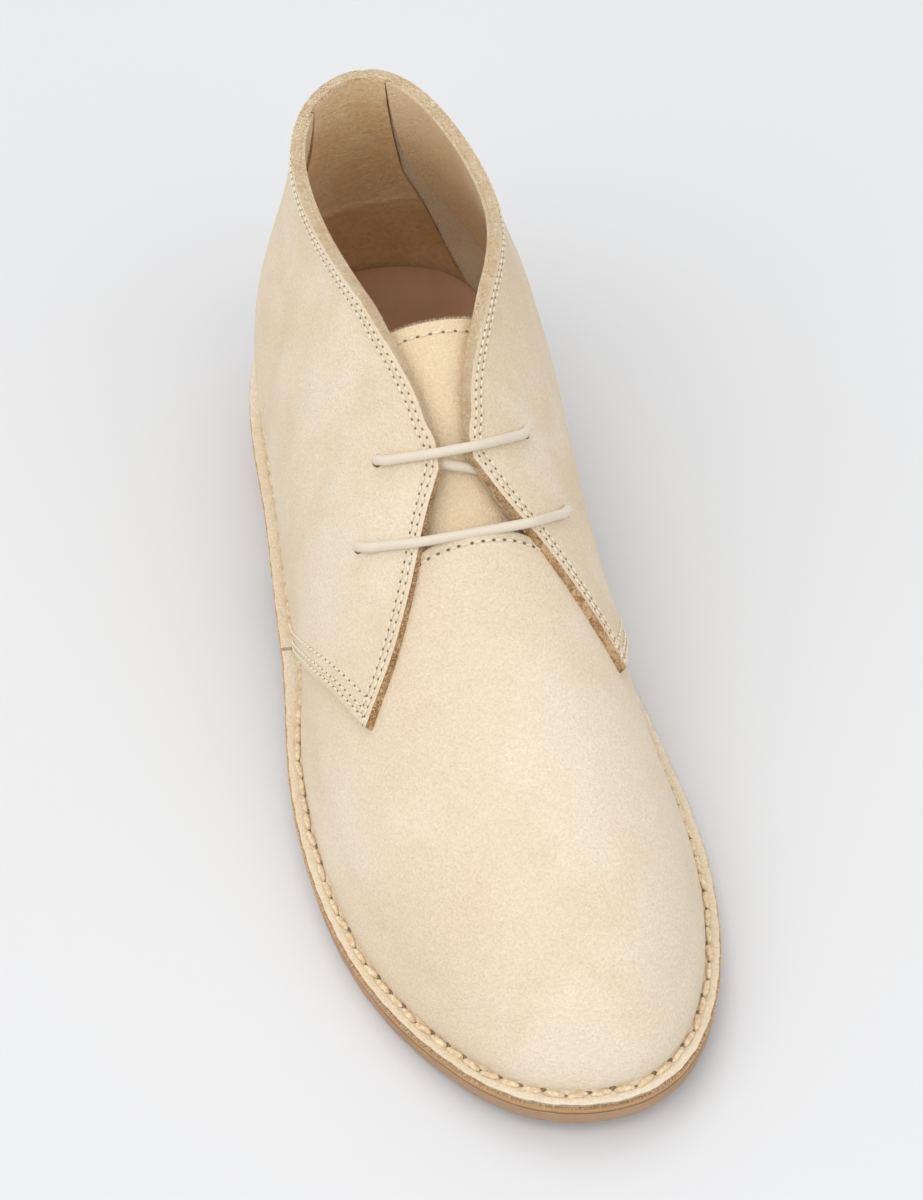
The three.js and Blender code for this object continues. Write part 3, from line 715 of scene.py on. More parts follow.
midsoleShape = {
    "profile": [(5.9, -3.95), (6.1, -3.8), (6.3, -2.9), (6.45, -2.4), (6.2, -2.2)],
    "cap": 6,
    "uneven": 0.1,
}
midsole = slabPiece("midsolePiece", midsoleShape, seamLevel)
giveMaterials(midsole, midsoleEdge)
placePiece(midsole, "midsole", "midsole", smooth=50)

insoleShape = {
    "profile": [(-2.6, -2.0), (-2.6, 0.9), (-2.75, 1.6), (-3.4, 1.95)],
    "cap": 18,
    "uneven": 0.0,
    # the heel end is cupped: rise at the rim, how far it reaches inwards and forwards
    "cup": 9.0,
    "cupWidth": 11.0,
    "cupReach": (20.0, 62.0),
    "cupMiddle": (-1.5, heelEnd - 45),
    "cupLean": 0.9,
    "pad": 2.5,
}


# raises the rim of the insole's heel along the wall of the upper
def cupInsole(piece):
    points = readPoints(piece) / mm - shift
    fromHeel = heelEnd - points[:, 1]
    edge = edgePoint(ringColumns, insoleShape["profile"][1][0], 0.0)[:, :2]
    gapTo = np.min(np.linalg.norm(points[:, None, :2] - edge[None], axis=2), axis=1)
    reach = 1 - softStep(fromHeel, *insoleShape["cupReach"])
    share = np.exp(-(gapTo / insoleShape["cupWidth"]) ** 2) * reach
    pad = insoleShape["pad"] * reach
    top = softStep(points[:, 2] - seamHeight(fromHeel), 0.0, 0.9)
    points[:, 2] += ((insoleShape["cup"] - insoleShape["pad"]) * share + pad) * top
    outwards = points[:, :2] - np.array(insoleShape["cupMiddle"])
    points[:, :2] += unit(outwards) * (insoleShape["cupLean"] * share * top)[:, None]
    writePoints(piece, (points + shift) * mm)


insole = slabPiece("insolePiece", insoleShape, seamLevel)
cupInsole(insole)
giveMaterials(insole, insoleLeather)
placePiece(insole, "insole", "insole", smooth=50)

heelShape = {
    # the last level stands for the underside of the outsole
    "profile": [(3.7, 0.0), (4.2, 0.35), (4.45, 0.9), (4.5, 1.6), (4.6, 12.0)],
    "cap": 8,
    "uneven": 0.1,
    "gap": 0.3,
    "least": 1.9,
    "breast": 96,          # how far forward the block reaches
    "hollow": 90,          # radius of the scooped front
    "hollowMiddle": (-3, 7),
    "cutterDepth": 80,
    "block": (300, 300, 200),
}


def heelLevel(along, level):
    top = np.maximum(seamHeight(along) - last["stack"] - heelShape["gap"], heelShape["least"])
    return np.where(level > 10, top, level)


heel = slabPiece("heelPiece", heelShape, heelLevel)
breastLine = heelEnd - heelShape["breast"]
deselectAll()
bpy.ops.mesh.primitive_cylinder_add(
    vertices=160, radius=heelShape["hollow"] * mm, depth=heelShape["cutterDepth"] * mm,
    location=((heelShape["hollowMiddle"][0] + shiftX) * mm,
              (breastLine - heelShape["hollow"] + heelShape["hollowMiddle"][1]) * mm, 0))
scoop = bpy.context.active_object
bpy.ops.mesh.primitive_cube_add(size=1, location=(0, (breastLine - heelShape["block"][1] / 2) * mm, 0),
                                scale=[side * mm for side in heelShape["block"]])
frontBlock = bpy.context.active_object
bpy.ops.object.transform_apply(location=True, scale=True)
for cutter in (scoop, frontBlock):
    applyModifier(heel, "BOOLEAN", operation="DIFFERENCE", object=cutter, solver="EXACT")
    bpy.data.objects.remove(cutter)
giveMaterials(heel, crepeRubber)
placePiece(heel, "crepe", "heel", smooth=35)
print("sole made")

# flange turned out over the sole: share of its reach beyond the wall, rise of its top face
flangeShape = {
    "width": 6.0,
    "profile": [(1, -0.12), (0.9, 0.0), (0.78, 0.02), (0.66, 0.02), (0.55, 0.02), (0.46, 0.02), (0.37, 0.02),
                (0.28, 0.02), (0.2, 0.04), (0.13, 0.12), (0.07, 0.3), (0.03, 0.6)],
    "stitchPitch": soleLength[-1] / round(soleLength[-1] / 5.8),      # about 5.8, a whole number round
    "stitchFromWall": 1.35,
    "quarterShare": 0.75,   # the stitches sit closer to the quarters
    "grooveDepth": 0.3,
    "holeDepth": 0.45,
    "holeWidth": 0.8,
    "rim": (2.0, 6.0),      # outsets between which the unevenness grows
    "unevenWidth": 0.16,
    "unevenHeight": 0.12,
}
flangeRows = len(flangeShape["profile"])
flangeTable = np.array(flangeShape["profile"])

quarterShape = {
    "proud": 1.6,
    "thickness": 2.8,
    "frontProud": 0.6,      # the front edges stand up a little from the vamp
    "frontRun": 7.0,
    "frontReach": 110.0,    # from the heel to a front edge
    "slant": 1.1,           # how far the cut leans out towards the vamp
    "slantRun": 7,          # columns that take up the lean
    # front edges: edge, row, height; below and above the point of each quarter
    "point": 0.5,
    "lateral": {
        "below": [[0, 5.7, 0], [0.25, 6.7, 0.27], [0.4, 7.4, 0.43], [0.5, 8, 0.535]],
        "above": [[0.5, 8, 0.535], [0.65, 7.58, 0.67], [0.78, 7.05, 0.78], [0.9, 6.5, 0.867],
                  [1, 6.05, 0.945]],
    },
    "medial": {
        "below": [[0, 6.1, 0], [0.25, 6.7, 0.18], [0.4, 7.2, 0.33], [0.5, 7.65, 0.444]],
        "above": [[0.5, 7.65, 0.444], [0.65, 7.2, 0.6], [0.78, 6.8, 0.73], [0.9, 6.4, 0.855], [1, 6.0, 0.94]],
    },
    "throat": [[0, 1], [3.3, 1], [4, 0.985], [4.5, 0.945], [5, 0.925], [5.5, 0.93], [5.8, 0.95],
               [6.1, 0.945]],
}
vampShape = {
    "proud": -0.1,
    "foot": 2.1,            # the lasted leather swells out over the seam
    "footFade": (1.5, 15.0),
    "thickness": 2.0,
    # height, row of the back edge
    "lateralBack": [[0, 5.1], [0.28, 6.1], [0.5, 6.95], [0.7, 6.84], [0.85, 6.74], [1, 6.7]],
    "medialBack": [[0, 5.1], [0.28, 6.1], [0.5, 6.9], [0.7, 6.74], [0.85, 6.69], [1, 6.7]],
}
overlap = {
    # from and to row on the lateral and the medial side, going forwards from quarters to vamp
    "foot": ((5.8, 7.0), (6.2, 7.4)),
    "stitches": ((5.45, 5.95), (5.85, 6.35)),
    "vampFlange": ((5.45, 5.62), (5.85, 6.02)),
    "quarterEnd": (5.7, 6.1),
    "lift": 1.0,            # the quarters' flange starts on top of the vamp's, comes down over the run
    "run": 11.0,
    "tuck": 0.3,
}
throatAt = curveThrough(quarterShape["throat"])
vampLateralBack = curveThrough(vampShape["lateralBack"])
vampMedialBack = curveThrough(vampShape["medialBack"])


def vampBackAt(side, height):
    return np.where(side < 0, vampLateralBack(height), vampMedialBack(height))


def frontEdge(side, edge):
    tables = quarterShape["lateral" if side < 0 else "medial"]
    low = edge < quarterShape["point"]
    return tuple(np.where(low, curveThrough(tables["below"], 0, column)(edge),
                          curveThrough(tables["above"], 0, column)(edge)) for column in (1, 2))


# back runs from the front edge (0) to the heel (1), edge from the seam to the top
def quarterPlace(side, back, edge):
    row, height = frontEdge(side, edge)
    topRow, topHeight = (float(value) for value in frontEdge(side, np.array(1.0)))
    upright = (1 - back) * (height - edge * topHeight) + edge * throatAt((1 - back) * topRow)
    return (1 - back) * row, upright


# across runs from the medial front edge (-1) round the heel (0) to the lateral one (1)
def quarterSpot(across, edge):
    across, edge = np.broadcast_arrays(np.asarray(across, float), np.asarray(edge, float))
    back = 1 - np.abs(across)
    lateral = quarterPlace(-1, back, edge)
    medial = quarterPlace(1, back, edge)
    place = np.where(across >= 0, lateral[0], -medial[0])
    return place, np.where(across >= 0, lateral[1], medial[1])


# soft troughs (depth < 0) and ridges of the leather: place and height of both ends, depth, width
# and sideways bow in mm
creases = [
    ((4.1, 0.86), (5.1, 0.3), 0.7, 7.0, 2.0),
    ((4.9, 0.8), (5.6, 0.42), -0.6, 5.5, 0.0),
    ((3.0, 0.7), (3.9, 0.25), -0.7, 9.0, -2.0),
    ((6.3, 0.5), (7.1, 0.42), -0.35, 5.0, 0.0),
    ((-4.3, 0.8), (-5.2, 0.35), 0.5, 7.0, -2.0),
    ((-5.0, 0.7), (-5.9, 0.4), -0.45, 6.0, 0.0),
    ((-3.1, 0.6), (-3.8, 0.25), -0.6, 9.0, 2.0),
    ((8.3, 0.5), (8.0, 0.8), -0.3, 9.0, 0.0),
]


def creaseAt(points):
    total = np.zeros(len(points))
    for start, end, depth, width, bow in creases:
        first, final = lastPoint(start[0], start[1]), lastPoint(end[0], end[1])
        line = final - first
        share = ((points - first) @ line) / (line @ line)
        inside = np.clip(share, 0, 1)
        side = unit(np.cross(line, lastNormal((start[0] + end[0]) / 2, (start[1] + end[1]) / 2)))
        nearest = first + inside[:, None] * line + (bow * 4 * inside * (1 - inside))[:, None] * side
        gapTo = np.linalg.norm(points - nearest, axis=1)
        fade = softStep(share, -0.15, 0.2) * softStep(-share, -1.15, -0.8)
        total += depth * np.exp(-(gapTo / width) ** 2) * fade
    return total


# 0 beside the quarters, 1 on the open vamp, from the rows where the change starts and ends
def aheadOf(place, lateral, medial):
    place = np.asarray(place, float) % ringSize
    return np.where(place < halfRing, softStep(place, *lateral), softStep(ringSize - place, *medial))


def vampFoot(place, above=0.0):
    fade = 1 - softStep(above, *vampShape["footFade"])
    return vampShape["foot"] * aheadOf(place, *overlap["foot"]) * fade


# outset of the line of heavy stitches
def stitchLine(place):
    onVamp = vampShape["proud"] + vampFoot(place) + flangeShape["stitchFromWall"]
    onQuarter = quarterShape["proud"] + flangeShape["quarterShare"] * flangeShape["stitchFromWall"]
    return onQuarter + (onVamp - onQuarter) * aheadOf(place, *overlap["stitches"])


def flangePoint(place, outset, rise):
    length = lengthAt(place)
    line = stitchLine(place)
    fromLine = outset - line
    beat = (length / flangeShape["stitchPitch"] + 0.5) % 1 - 0.5
    groove = flangeShape["grooveDepth"] * np.exp(-fromLine ** 2)
    fromHole = np.hypot(fromLine, beat * flangeShape["stitchPitch"])
    dimple = flangeShape["holeDepth"] * np.exp(-(fromHole / flangeShape["holeWidth"]) ** 2)
    rim = softStep(outset, *flangeShape["rim"])
    level = rise - (groove + dimple) * softStep(outset, line - 1.6, line - 0.4) \
        + flangeShape["unevenHeight"] * rim * wobble(length * 0.33, 2.0)
    return edgePoint(place, outset + flangeShape["unevenWidth"] * rim * wobble(length * 0.8, 5.0), level)


vampWall = 58
vampColumns = np.linspace(-1, 1, 461)
vampRows = np.concatenate([-np.arange(flangeRows, 0, -1.0), np.linspace(0, 1, vampWall)])


def vampSpot(across, up):
    up = np.clip(up, 0, 1)
    place = halfRing + across * (halfRing - vampBackAt(across, up))
    base = 1.2 / (3 * ringAt("rise", place))
    height = base + (1 - base) * up
    return halfRing + across * (halfRing - vampBackAt(across, height)), height


toeFairing = {"middle": (4.0, heelEnd - 240), "inner": 16.0, "outer": 36.0, "least": 35,
              "trusted": (4.0, 14.0), "order": 5}


# the toe's crown is drawn by many sections meeting in one point, so its middle is faired
def easeToe(points):
    flat = points[:, :2] - np.array(toeFairing["middle"])
    away = np.hypot(*flat.T)
    near = (away < toeFairing["outer"]) & (points[:, 2] > toeFairing["least"])
    x, y = (flat[near] / toeFairing["outer"]).T
    order = toeFairing["order"]
    terms = np.stack([x ** i * y ** j for i in range(order) for j in range(order - i)], 1)
    weight = np.sqrt(softStep(away[near], *toeFairing["trusted"]) + 0.02)
    solved = np.linalg.lstsq(terms * weight[:, None], points[near, 2] * weight, rcond=None)[0]
    share = 1 - softStep(away[near], toeFairing["inner"], toeFairing["outer"])
    points[near, 2] += (terms @ solved - points[near, 2]) * share
    return points


def vampAt(across, up):
    wall = up >= 0
    place, height = vampSpot(across, up)
    points = lastPoint(place, height)
    above = points[:, 2] - seamHeight(ringAt("seamAlong", place))
    offset = vampShape["proud"] + creaseAt(points) + vampFoot(place, above)
    points = points + lastNormal(place, height) * offset[:, None]
    points = easeToe(points)
    reach, rise = flangeTable[np.clip(flangeRows + up, 0, flangeRows - 1).astype(int)].T
    # 0 where the vamp's flange has stopped, just under the quarters'
    hidden = aheadOf(place, *overlap["vampFlange"])
    base = vampShape["proud"] + vampFoot(place)
    outset = base + reach * (flangeShape["width"] - base) * (0.05 + 0.95 * hidden)
    turned = flangePoint(place, outset, rise - overlap["tuck"] * (1 - hidden))
    return np.where(wall[:, None], points, turned)


vamp = gridSheet("vampPiece", vampColumns, vampRows, vampAt,
                 {"brown": lambda across, up: np.where(up < 0, 0.12, 0.6)})
mergeClose(vamp)
giveMaterials(vamp, suedeVamp, cutEdge)
thicken(vamp, vampShape["thickness"], 0.3)
placePiece(vamp, "suede", "upper", smooth=60)
print("vamp made:", len(vamp.data.polygons), "faces")

quarterWall = 60
quarterColumns = np.linspace(-1, 1, 401)
quarterRows = np.concatenate([-np.arange(flangeRows, 0, -1.0), np.linspace(0.014, 1, quarterWall)])
backSeam = {"depth": 0.55, "width": 0.9, "middle": -1.5}


def quarterLift(across):
    rows = overlap["quarterEnd"]
    front = np.where(across >= 0, lengthAt(rows[0]), lengthAt(ringSize - rows[1]))
    here = np.where(across >= 0, lengthAt(rows[0] * np.abs(across)),
                    lengthAt(ringSize - rows[1] * np.abs(across)))
    return overlap["lift"] * np.exp(-((front - here) / overlap["run"]) ** 2)


def quarterWallPoint(across, edge, offset):
    place, height = quarterSpot(across, edge)
    points = lastPoint(place, height)
    fromSeam = (points[:, 0] - backSeam["middle"]) / backSeam["width"]
    seam = backSeam["depth"] * np.exp(-fromSeam ** 2) * (np.abs(across) < 0.2)
    frontGap = (1 - np.abs(across)) * quarterShape["frontReach"]
    stand = np.exp(-(frontGap / quarterShape["frontRun"]) ** 2) * softStep(edge, 0.1, 0.5)
    away = offset + creaseAt(points) - seam + quarterShape["frontProud"] * stand
    points = points + lastNormal(place, height) * away[:, None]
    above = np.maximum(points[:, 2] - seamHeight(ringAt("seamAlong", place)), 0)
    points[:, 2] += quarterLift(across) * np.exp(-above / 4)
    return points


def quarterAt(across, up):
    wall = up >= 0
    points = quarterWallPoint(across, np.clip(up, 0, 1), quarterShape["proud"])
    place, _ = quarterSpot(across, 0 * up)
    reach, rise = flangeTable[np.clip(flangeRows + up, 0, flangeRows - 1).astype(int)].T
    outset = quarterShape["proud"] + reach * (flangeShape["width"] + 0.2 - quarterShape["proud"])
    turned = flangePoint(place, outset, rise + quarterLift(across))
    return np.where(wall[:, None], points, turned)


def quarterBrown(across, up):
    front = softStep(np.abs(across), 0.985, 0.999) * softStep(up, 0.02, 0.1)
    collar = 0.25 * softStep(np.abs(across), 0.8, 0.98)
    return np.where(up < 0, 0.12, np.maximum(front, collar))


# how the inner face runs on past the outer one at the two front edges
def slantOf(sheet, columns, rows, reach, run):
    points = readPoints(sheet).reshape(rows, columns, 3)
    slant = np.zeros_like(points)
    for edge, step in ((0, 1), (-1, -1)):
        ahead = unit(points[:, edge] - points[:, edge + step * (run - 1)])
        for k in range(run):
            slant[:, edge + step * k] = ahead * (reach * (1 - k / run) * mm)
    return slant.reshape(-1, 3)


quarters = gridSheet("quartersPiece", quarterColumns, quarterRows, quarterAt, {"brown": quarterBrown})
giveMaterials(quarters, suedeQuarter, cutEdge, bareSuede)
quarterSlant = slantOf(quarters, len(quarterColumns), len(quarterRows), quarterShape["slant"],
                       quarterShape["slantRun"])
thicken(quarters, quarterShape["thickness"], 0.3, quarterSlant, inside=2)
print("quarters made:", len(quarters.data.polygons), "faces")

tongueShape = {
    # row from the heel, offset from the last, how far it arches
    "rows": [[4.4, -4.1, 1.15], [5, -4.3, 1.05], [6.5, -4.3, 1], [6.9, -2.9, 1], [7.1, -2.9, 1]],
    "side": 0.66,
    "shoulder": 0.84,
    "thickness": 1.8,
    "reach": (7.1, 4.4),    # first and last row
    "bow": (0.5, 0.2),      # the free end is cut in a slight bow, forwards and up
}
tongueOffset = curveThrough(tongueShape["rows"], 0, 1)
tongueArch = curveThrough(tongueShape["rows"], 0, 2)


def tonguePoint(along, across):
    start, end = tongueShape["reach"]
    row = start + (end - start) * along
    side = np.where(across < 0, -1, 1)
    share = np.abs(across)                       # 0 in the middle, 1 at the side
    offset = tongueOffset(row)
    flank = np.clip((share - 0.5) / 0.5, 0, 1)
    height = tongueShape["shoulder"] + (tongueShape["side"] - tongueShape["shoulder"]) * flank
    flat = shellPoint(-side * row, height, offset)
    ends, tangents = [], []
    for s in (-1, 1):
        shoulders = [shellPoint(-s * row, tongueShape["shoulder"] - lower, offset) for lower in (0, 0.06)]
        ends.append(shoulders[0])
        tangents.append(unit(shoulders[0] - shoulders[1]))
    reach = (tongueArch(row) * np.linalg.norm(ends[0] - ends[1], axis=1) / 3)[:, None]
    controls = [ends[0], ends[0] + tangents[0] * reach, ends[1] + tangents[1] * reach, ends[1]]
    arch = bezier(np.clip(across + 0.5, 0, 1)[:, None], controls)
    return np.where((share > 0.5)[:, None], flat, arch)


def tongueAt(across, along):
    points = tonguePoint(along, across)
    middle = np.clip(1 - (across / 0.9) ** 2, 0, 1)
    lift = softStep(along, 0.8, 1.0) * middle
    points[:, 1:] += lift[:, None] * tongueShape["bow"]
    return points


tongue = gridSheet("tonguePiece", np.linspace(-1, 1, 121), np.linspace(0, 1, 90),
                   tongueAt, {"brown": lambda across, along: 0.1})
giveMaterials(tongue, suedeTongue, cutEdge)
thicken(tongue, tongueShape["thickness"], 0.4)
placePiece(tongue, "suede", "tongue", smooth=60)
print("tongue made")

heelLining = {
    # height, row of the lateral edge, row of the medial edge
    "edges": [[0.0, 2.1, 1.7], [0.062, 2.0, 1.4], [0.131, 1.9, 1.1], [0.238, 1.75, 0.9],
              [0.45, 1.5, 0.7], [0.61, 1.25, 0.55], [0.8, 1.2, 0.55], [1, 1.2, 0.55]],
    "offset": -1.28,
    "thickness": 0.9,
}
liningLateral = curveThrough(heelLining["edges"], 0, 1)
liningMedial = curveThrough(heelLining["edges"], 0, 2)


def heelLiningAt(across, height):
    left, right = liningLateral(height), liningMedial(height)
    place = -right + (left + right) * (across + 1) / 2
    ridge = 0.35 * np.exp(-((height - 0.4 - 0.05 * across ** 2) / 0.012) ** 2)
    return shellPoint(place, height, heelLining["offset"] - ridge)


# darker below the counter line: the counter's own darker tone, deepened with painted depth shade
def counterToneAndPaintedShade(across, height):
    return softStep(height, 0.42, 0.36) * 0.9


lining = gridSheet("heelLiningPiece", np.linspace(-1, 1, 81), np.linspace(0.004, 0.996, 90),
                   heelLiningAt, {"brown": lambda across, height: 0.75, "deep": counterToneAndPaintedShade})
giveMaterials(lining, heelSuede, cutEdge)
thicken(lining, heelLining["thickness"], 0)
placePiece(lining, "suede", smooth=60)

facingShape = {
    # share of the way back from the front edge, lowest edge share
    "lateral": [[0, 0.84], [0.08, 0.62], [0.25, 0.33], [0.45, 0.26], [0.62, 0.34], [0.72, 0.47],
                [0.795, 0.66]],
    "medial": [[0, 0.84], [0.1, 0.62], [0.3, 0.33], [0.6, 0.25], [0.69, 0.28], [0.76, 0.33], [0.83, 0.43],
               [0.875, 0.56], [0.905, 0.66]],
    "offset": -1.25,
    "thickness": 1.1,
}


def facingSheet(side):
    name = "lateral" if side < 0 else "medial"
    lowAt = curveThrough(facingShape[name])
    farBack = facingShape[name][-1][0]

    def fromFront(across):
        return across if side > 0 else 1 - across

    def placeAt(across, up):
        back = farBack * fromFront(across)
        low = lowAt(back)
        row, height = quarterPlace(side, back, low + (1 - low) * up)
        return shellPoint(-side * row, height, facingShape["offset"])

    columns = np.linspace(0, 1, 121)
    return gridSheet(name + "FacingPiece", columns[::-side], np.linspace(0, 1, 50), placeAt,
                     {"brown": lambda across, up: 0.9 * softStep(fromFront(across), 0.97, 0.99)})


for side in (-1, 1):
    facing = facingSheet(side)
    if side > 0:
        editAll(facing, bpy.ops.mesh.flip_normals)
    giveMaterials(facing, facingSuede, cutEdge)
    thicken(facing, facingShape["thickness"], 0.25)
    placePiece(facing, "suede", smooth=60)
print("lining made")

eyelets = {
    "lowerLateral": (-1, 6.37, 0.63),
    "lowerMedial": (1, 6.27, 0.59),
    "upperLateral": (-1, 5.73, 0.75),
    "upperMedial": (1, 5.65, 0.72),
}
laceShape = {
    "diameter": 2.7,
    "outside": 3.35,        # cord's middle above and below the quarters
    "inside": -2.45,
    "exit": 1.7,            # where a bar leaves its eyelet
    "clear": 0.12,
    "bowed": (-0.11, -0.72, 0.68),       # the way the bars bow over the instep
    "exitHeight": 0.6,
    "passage": ((0.006, 1.9), (-0.002, -1.2)),       # height and offset of the stops in an eyelet
    "barSteps": 61,
    "above": 40,            # from where the leather below a bar is looked for
    "sides": 14,
    "steps": 420,
}


# side is -1 on the lateral side and 1 on the medial one, rows count from the heel
def onShell(side, row, height, offset):
    return shellPoint(-side * row, height, offset)


def eyeletStops(name, goingIn):
    side, row, height = eyelets[name]
    middle = (laceShape["outside"] + laceShape["inside"]) / 2
    stops = [onShell(side, row, height + climb, middle + out) for climb, out in laceShape["passage"]]
    return stops if goingIn else stops[::-1]


# how far below origin the first piece under the lace lies
def highestHit(origin, down):
    start = Vector(((origin + shift) * mm).tolist())
    casts = [tree.ray_cast(start, Vector(down.tolist())) for tree in laceRests]
    return min(distance for spot, _, _, distance in casts if spot is not None) / mm


# a taut cord between two eyelets: it touches the leather's high spots and runs straight between
def laceBar(first, second):
    starts = [onShell(*eyelets[name], quarterShape["proud"]) for name in (first, second)]
    run = unit(starts[1] - starts[0])
    up = np.array(laceShape["bowed"])
    up = unit(up - run * (up @ run))
    starts[0] = starts[0] + run * laceShape["exit"] + up * laceShape["exitHeight"]
    starts[1] = starts[1] - run * laceShape["exit"] + up * laceShape["exitHeight"]
    count = laceShape["barSteps"]
    line = starts[0] + np.linspace(0, 1, count)[:, None] * (starts[1] - starts[0])
    falls = np.array([highestHit(point + up * laceShape["above"], -up) for point in line])
    heights = laceShape["above"] - falls + laceShape["diameter"] / 2 + laceShape["clear"]
    hull = [0]
    for i in range(1, count):
        while len(hull) > 1:
            j, k = hull[-2], hull[-1]
            if (heights[k] - heights[j]) * (i - k) >= (heights[i] - heights[k]) * (k - j):
                break
            hull.pop()
        hull.append(i)
    taut = np.interp(np.arange(count), hull, heights[hull])
    eased = np.convolve(np.pad(taut, 4, "edge"), np.ones(9) / 9, "valid")
    return list((line + up * np.maximum(eased, taut)[:, None])[::4])


def under(side, row, height):
    return onShell(side, row, height, laceShape["inside"])


laceRests = [surfaceOf(piece) for piece in (quarters, vamp, tongue)]
laceStops = np.array([
    under(-1, 5.85, 0.7), under(-1, 6.0, 0.68), under(-1, 6.2, 0.64),
    *eyeletStops("lowerLateral", False), *laceBar("lowerLateral", "lowerMedial"),
    *eyeletStops("lowerMedial", True),
    under(1, 6.22, 0.64), under(1, 6.16, 0.76), under(1, 6.1, 0.9),
    under(-1, 6.02, 0.97), under(-1, 5.9, 0.88), under(-1, 5.8, 0.79),
    *eyeletStops("upperLateral", False), *laceBar("upperLateral", "upperMedial"),
    *eyeletStops("upperMedial", True),
    under(1, 5.6, 0.68), under(1, 5.56, 0.64),
])


# points at even steps on a line, given their number or the pitch wanted
def evenLine(line, count=None, pitch=None):
    lengths = walked(line)
    count = count or max(2, int(round(lengths[-1] / pitch)) + 1)
    marks = np.linspace(0, lengths[-1], count)
    return np.stack([np.interp(marks, lengths, line[:, k]) for k in range(3)], 1)


# smooth path through the stops, spaced by the square root of each step
def pathThrough(stops, count):
    padded = np.vstack([2 * stops[0] - stops[1], stops, 2 * stops[-1] - stops[-2]])
    steps = np.sqrt(np.linalg.norm(np.diff(padded, axis=0), axis=1))
    knots = np.concatenate([[0], np.cumsum(steps)])

    def blend(points, k, t, apart):
        return [((k[j + apart] - t) * points[j] + (t - k[j]) * points[j + 1]) / (k[j + apart] - k[j])
                for j in range(len(points) - 1)]

    fine = []
    for i in range(1, len(padded) - 2):
        t = np.linspace(knots[i], knots[i + 1], 24, endpoint=False)[:, None]
        k = knots[i - 1:i + 3]
        near = blend(blend(padded[i - 1:i + 3], k, t, 1), k, t, 2)
        fine.append(blend(near, k[1:], t, 1)[0])
    return evenLine(np.vstack([*fine, stops[-1:]]), count)


lacePath = pathThrough(laceStops, laceShape["steps"])
laceLength = walked(lacePath)[-1]
laceAhead = unit(np.gradient(lacePath, axis=0))
laceSide = np.zeros_like(laceAhead)
lead = np.array([0.0, 0.0, 1.0])
for i, ahead in enumerate(laceAhead):
    lead = unit(lead - ahead * (lead @ ahead))
    laceSide[i] = lead
laceUp = np.cross(laceAhead, laceSide)


def laceAt(along, around):
    i = np.rint(along * (laceShape["steps"] - 1)).astype(int)
    ends = np.minimum(i, laceShape["steps"] - 1 - i)
    radius = laceShape["diameter"] / 2 * np.where(ends == 0, 0.001, 1.0) * (1 + 0.02 * wobble(i * 0.35))
    angle = (around * 2 * math.pi)[:, None]
    return lacePath[i] + (laceSide[i] * np.cos(angle) + laceUp[i] * np.sin(angle)) * radius[:, None]


lace = gridSheet("lacePiece", np.linspace(0, 1, laceShape["steps"]),
                 np.linspace(0, 1, laceShape["sides"] + 1), laceAt)
mergeClose(lace, 0.03)
editAll(lace, bpy.ops.mesh.normals_make_consistent, inside=False)
giveMaterials(lace, waxedLace)
placePiece(lace, "lace", "lace", smooth=60)
print("lace made,", round(float(laceLength)), "mm long")

eyeletShape = {"radius": 1.75, "depth": 12, "sides": 20, "offset": 0.4}
for side, row, height in eyelets.values():
    spot = onShell(side, row, height, eyeletShape["offset"])
    outwards = lastNormal(-side * row, height)
    deselectAll()
    bpy.ops.mesh.primitive_cylinder_add(vertices=eyeletShape["sides"], radius=eyeletShape["radius"] * mm,
                                        depth=eyeletShape["depth"] * mm)
    punch = bpy.context.active_object
    giveMaterials(punch, suedeQuarter, cutEdge)
    punch.data.polygons.foreach_set("material_index", [1] * len(punch.data.polygons))
    stain = punch.data.attributes.new("brown", "FLOAT", "POINT")
    stain.data.foreach_set("value", [1.0] * len(punch.data.vertices))
    turn = Vector((0, 0, 1)).rotation_difference(Vector(outwards.tolist())).to_matrix().to_4x4()
    turn.translation = Vector(((spot + shift) * mm).tolist())
    punch.data.transform(turn)
    applyModifier(quarters, "BOOLEAN", operation="DIFFERENCE", object=punch, solver="EXACT")
    bpy.data.objects.remove(punch)
placePiece(quarters, "suede", smooth=60)
print("eyelets punched")


# nearest spots on a piece for points in drawing millimetres, with normals and gaps
def settle(tree, points):
    found = [tree.find_nearest(Vector(point.tolist())) for point in (points + shift) * mm]
    spots, normals = (np.array([hit[k][:] for hit in found]) for k in (0, 1))
    return spots / mm - shift, normals, np.array([hit[3] for hit in found]) / mm


def stitchTemplate(length, width, height, segments, rings):
    deselectAll()
    bpy.ops.mesh.primitive_uv_sphere_add(segments=segments, ring_count=rings, radius=0.5,
                                         rotation=(0, math.pi / 2, 0))
    template = bpy.context.active_object
    bpy.ops.object.transform_apply(rotation=True)
    x, y, z = readPoints(template).T
    blunt = np.sign(x) * np.abs(x * 2) ** 0.75 / 2
    bent = -0.45 * (x * 2) ** 4
    writePoints(template, np.stack([blunt * length, y * width, (z + bent) * height], 1) * mm)
    return template


# one template copied to all spots of a piece
def scatter(name, template, spots, alongs, ups, material, slot):
    piece = joinCopies(name, template, np.vstack(spots), np.vstack(alongs), np.vstack(ups))
    bpy.data.objects.remove(template)
    giveMaterials(piece, material)
    placePiece(piece, slot)


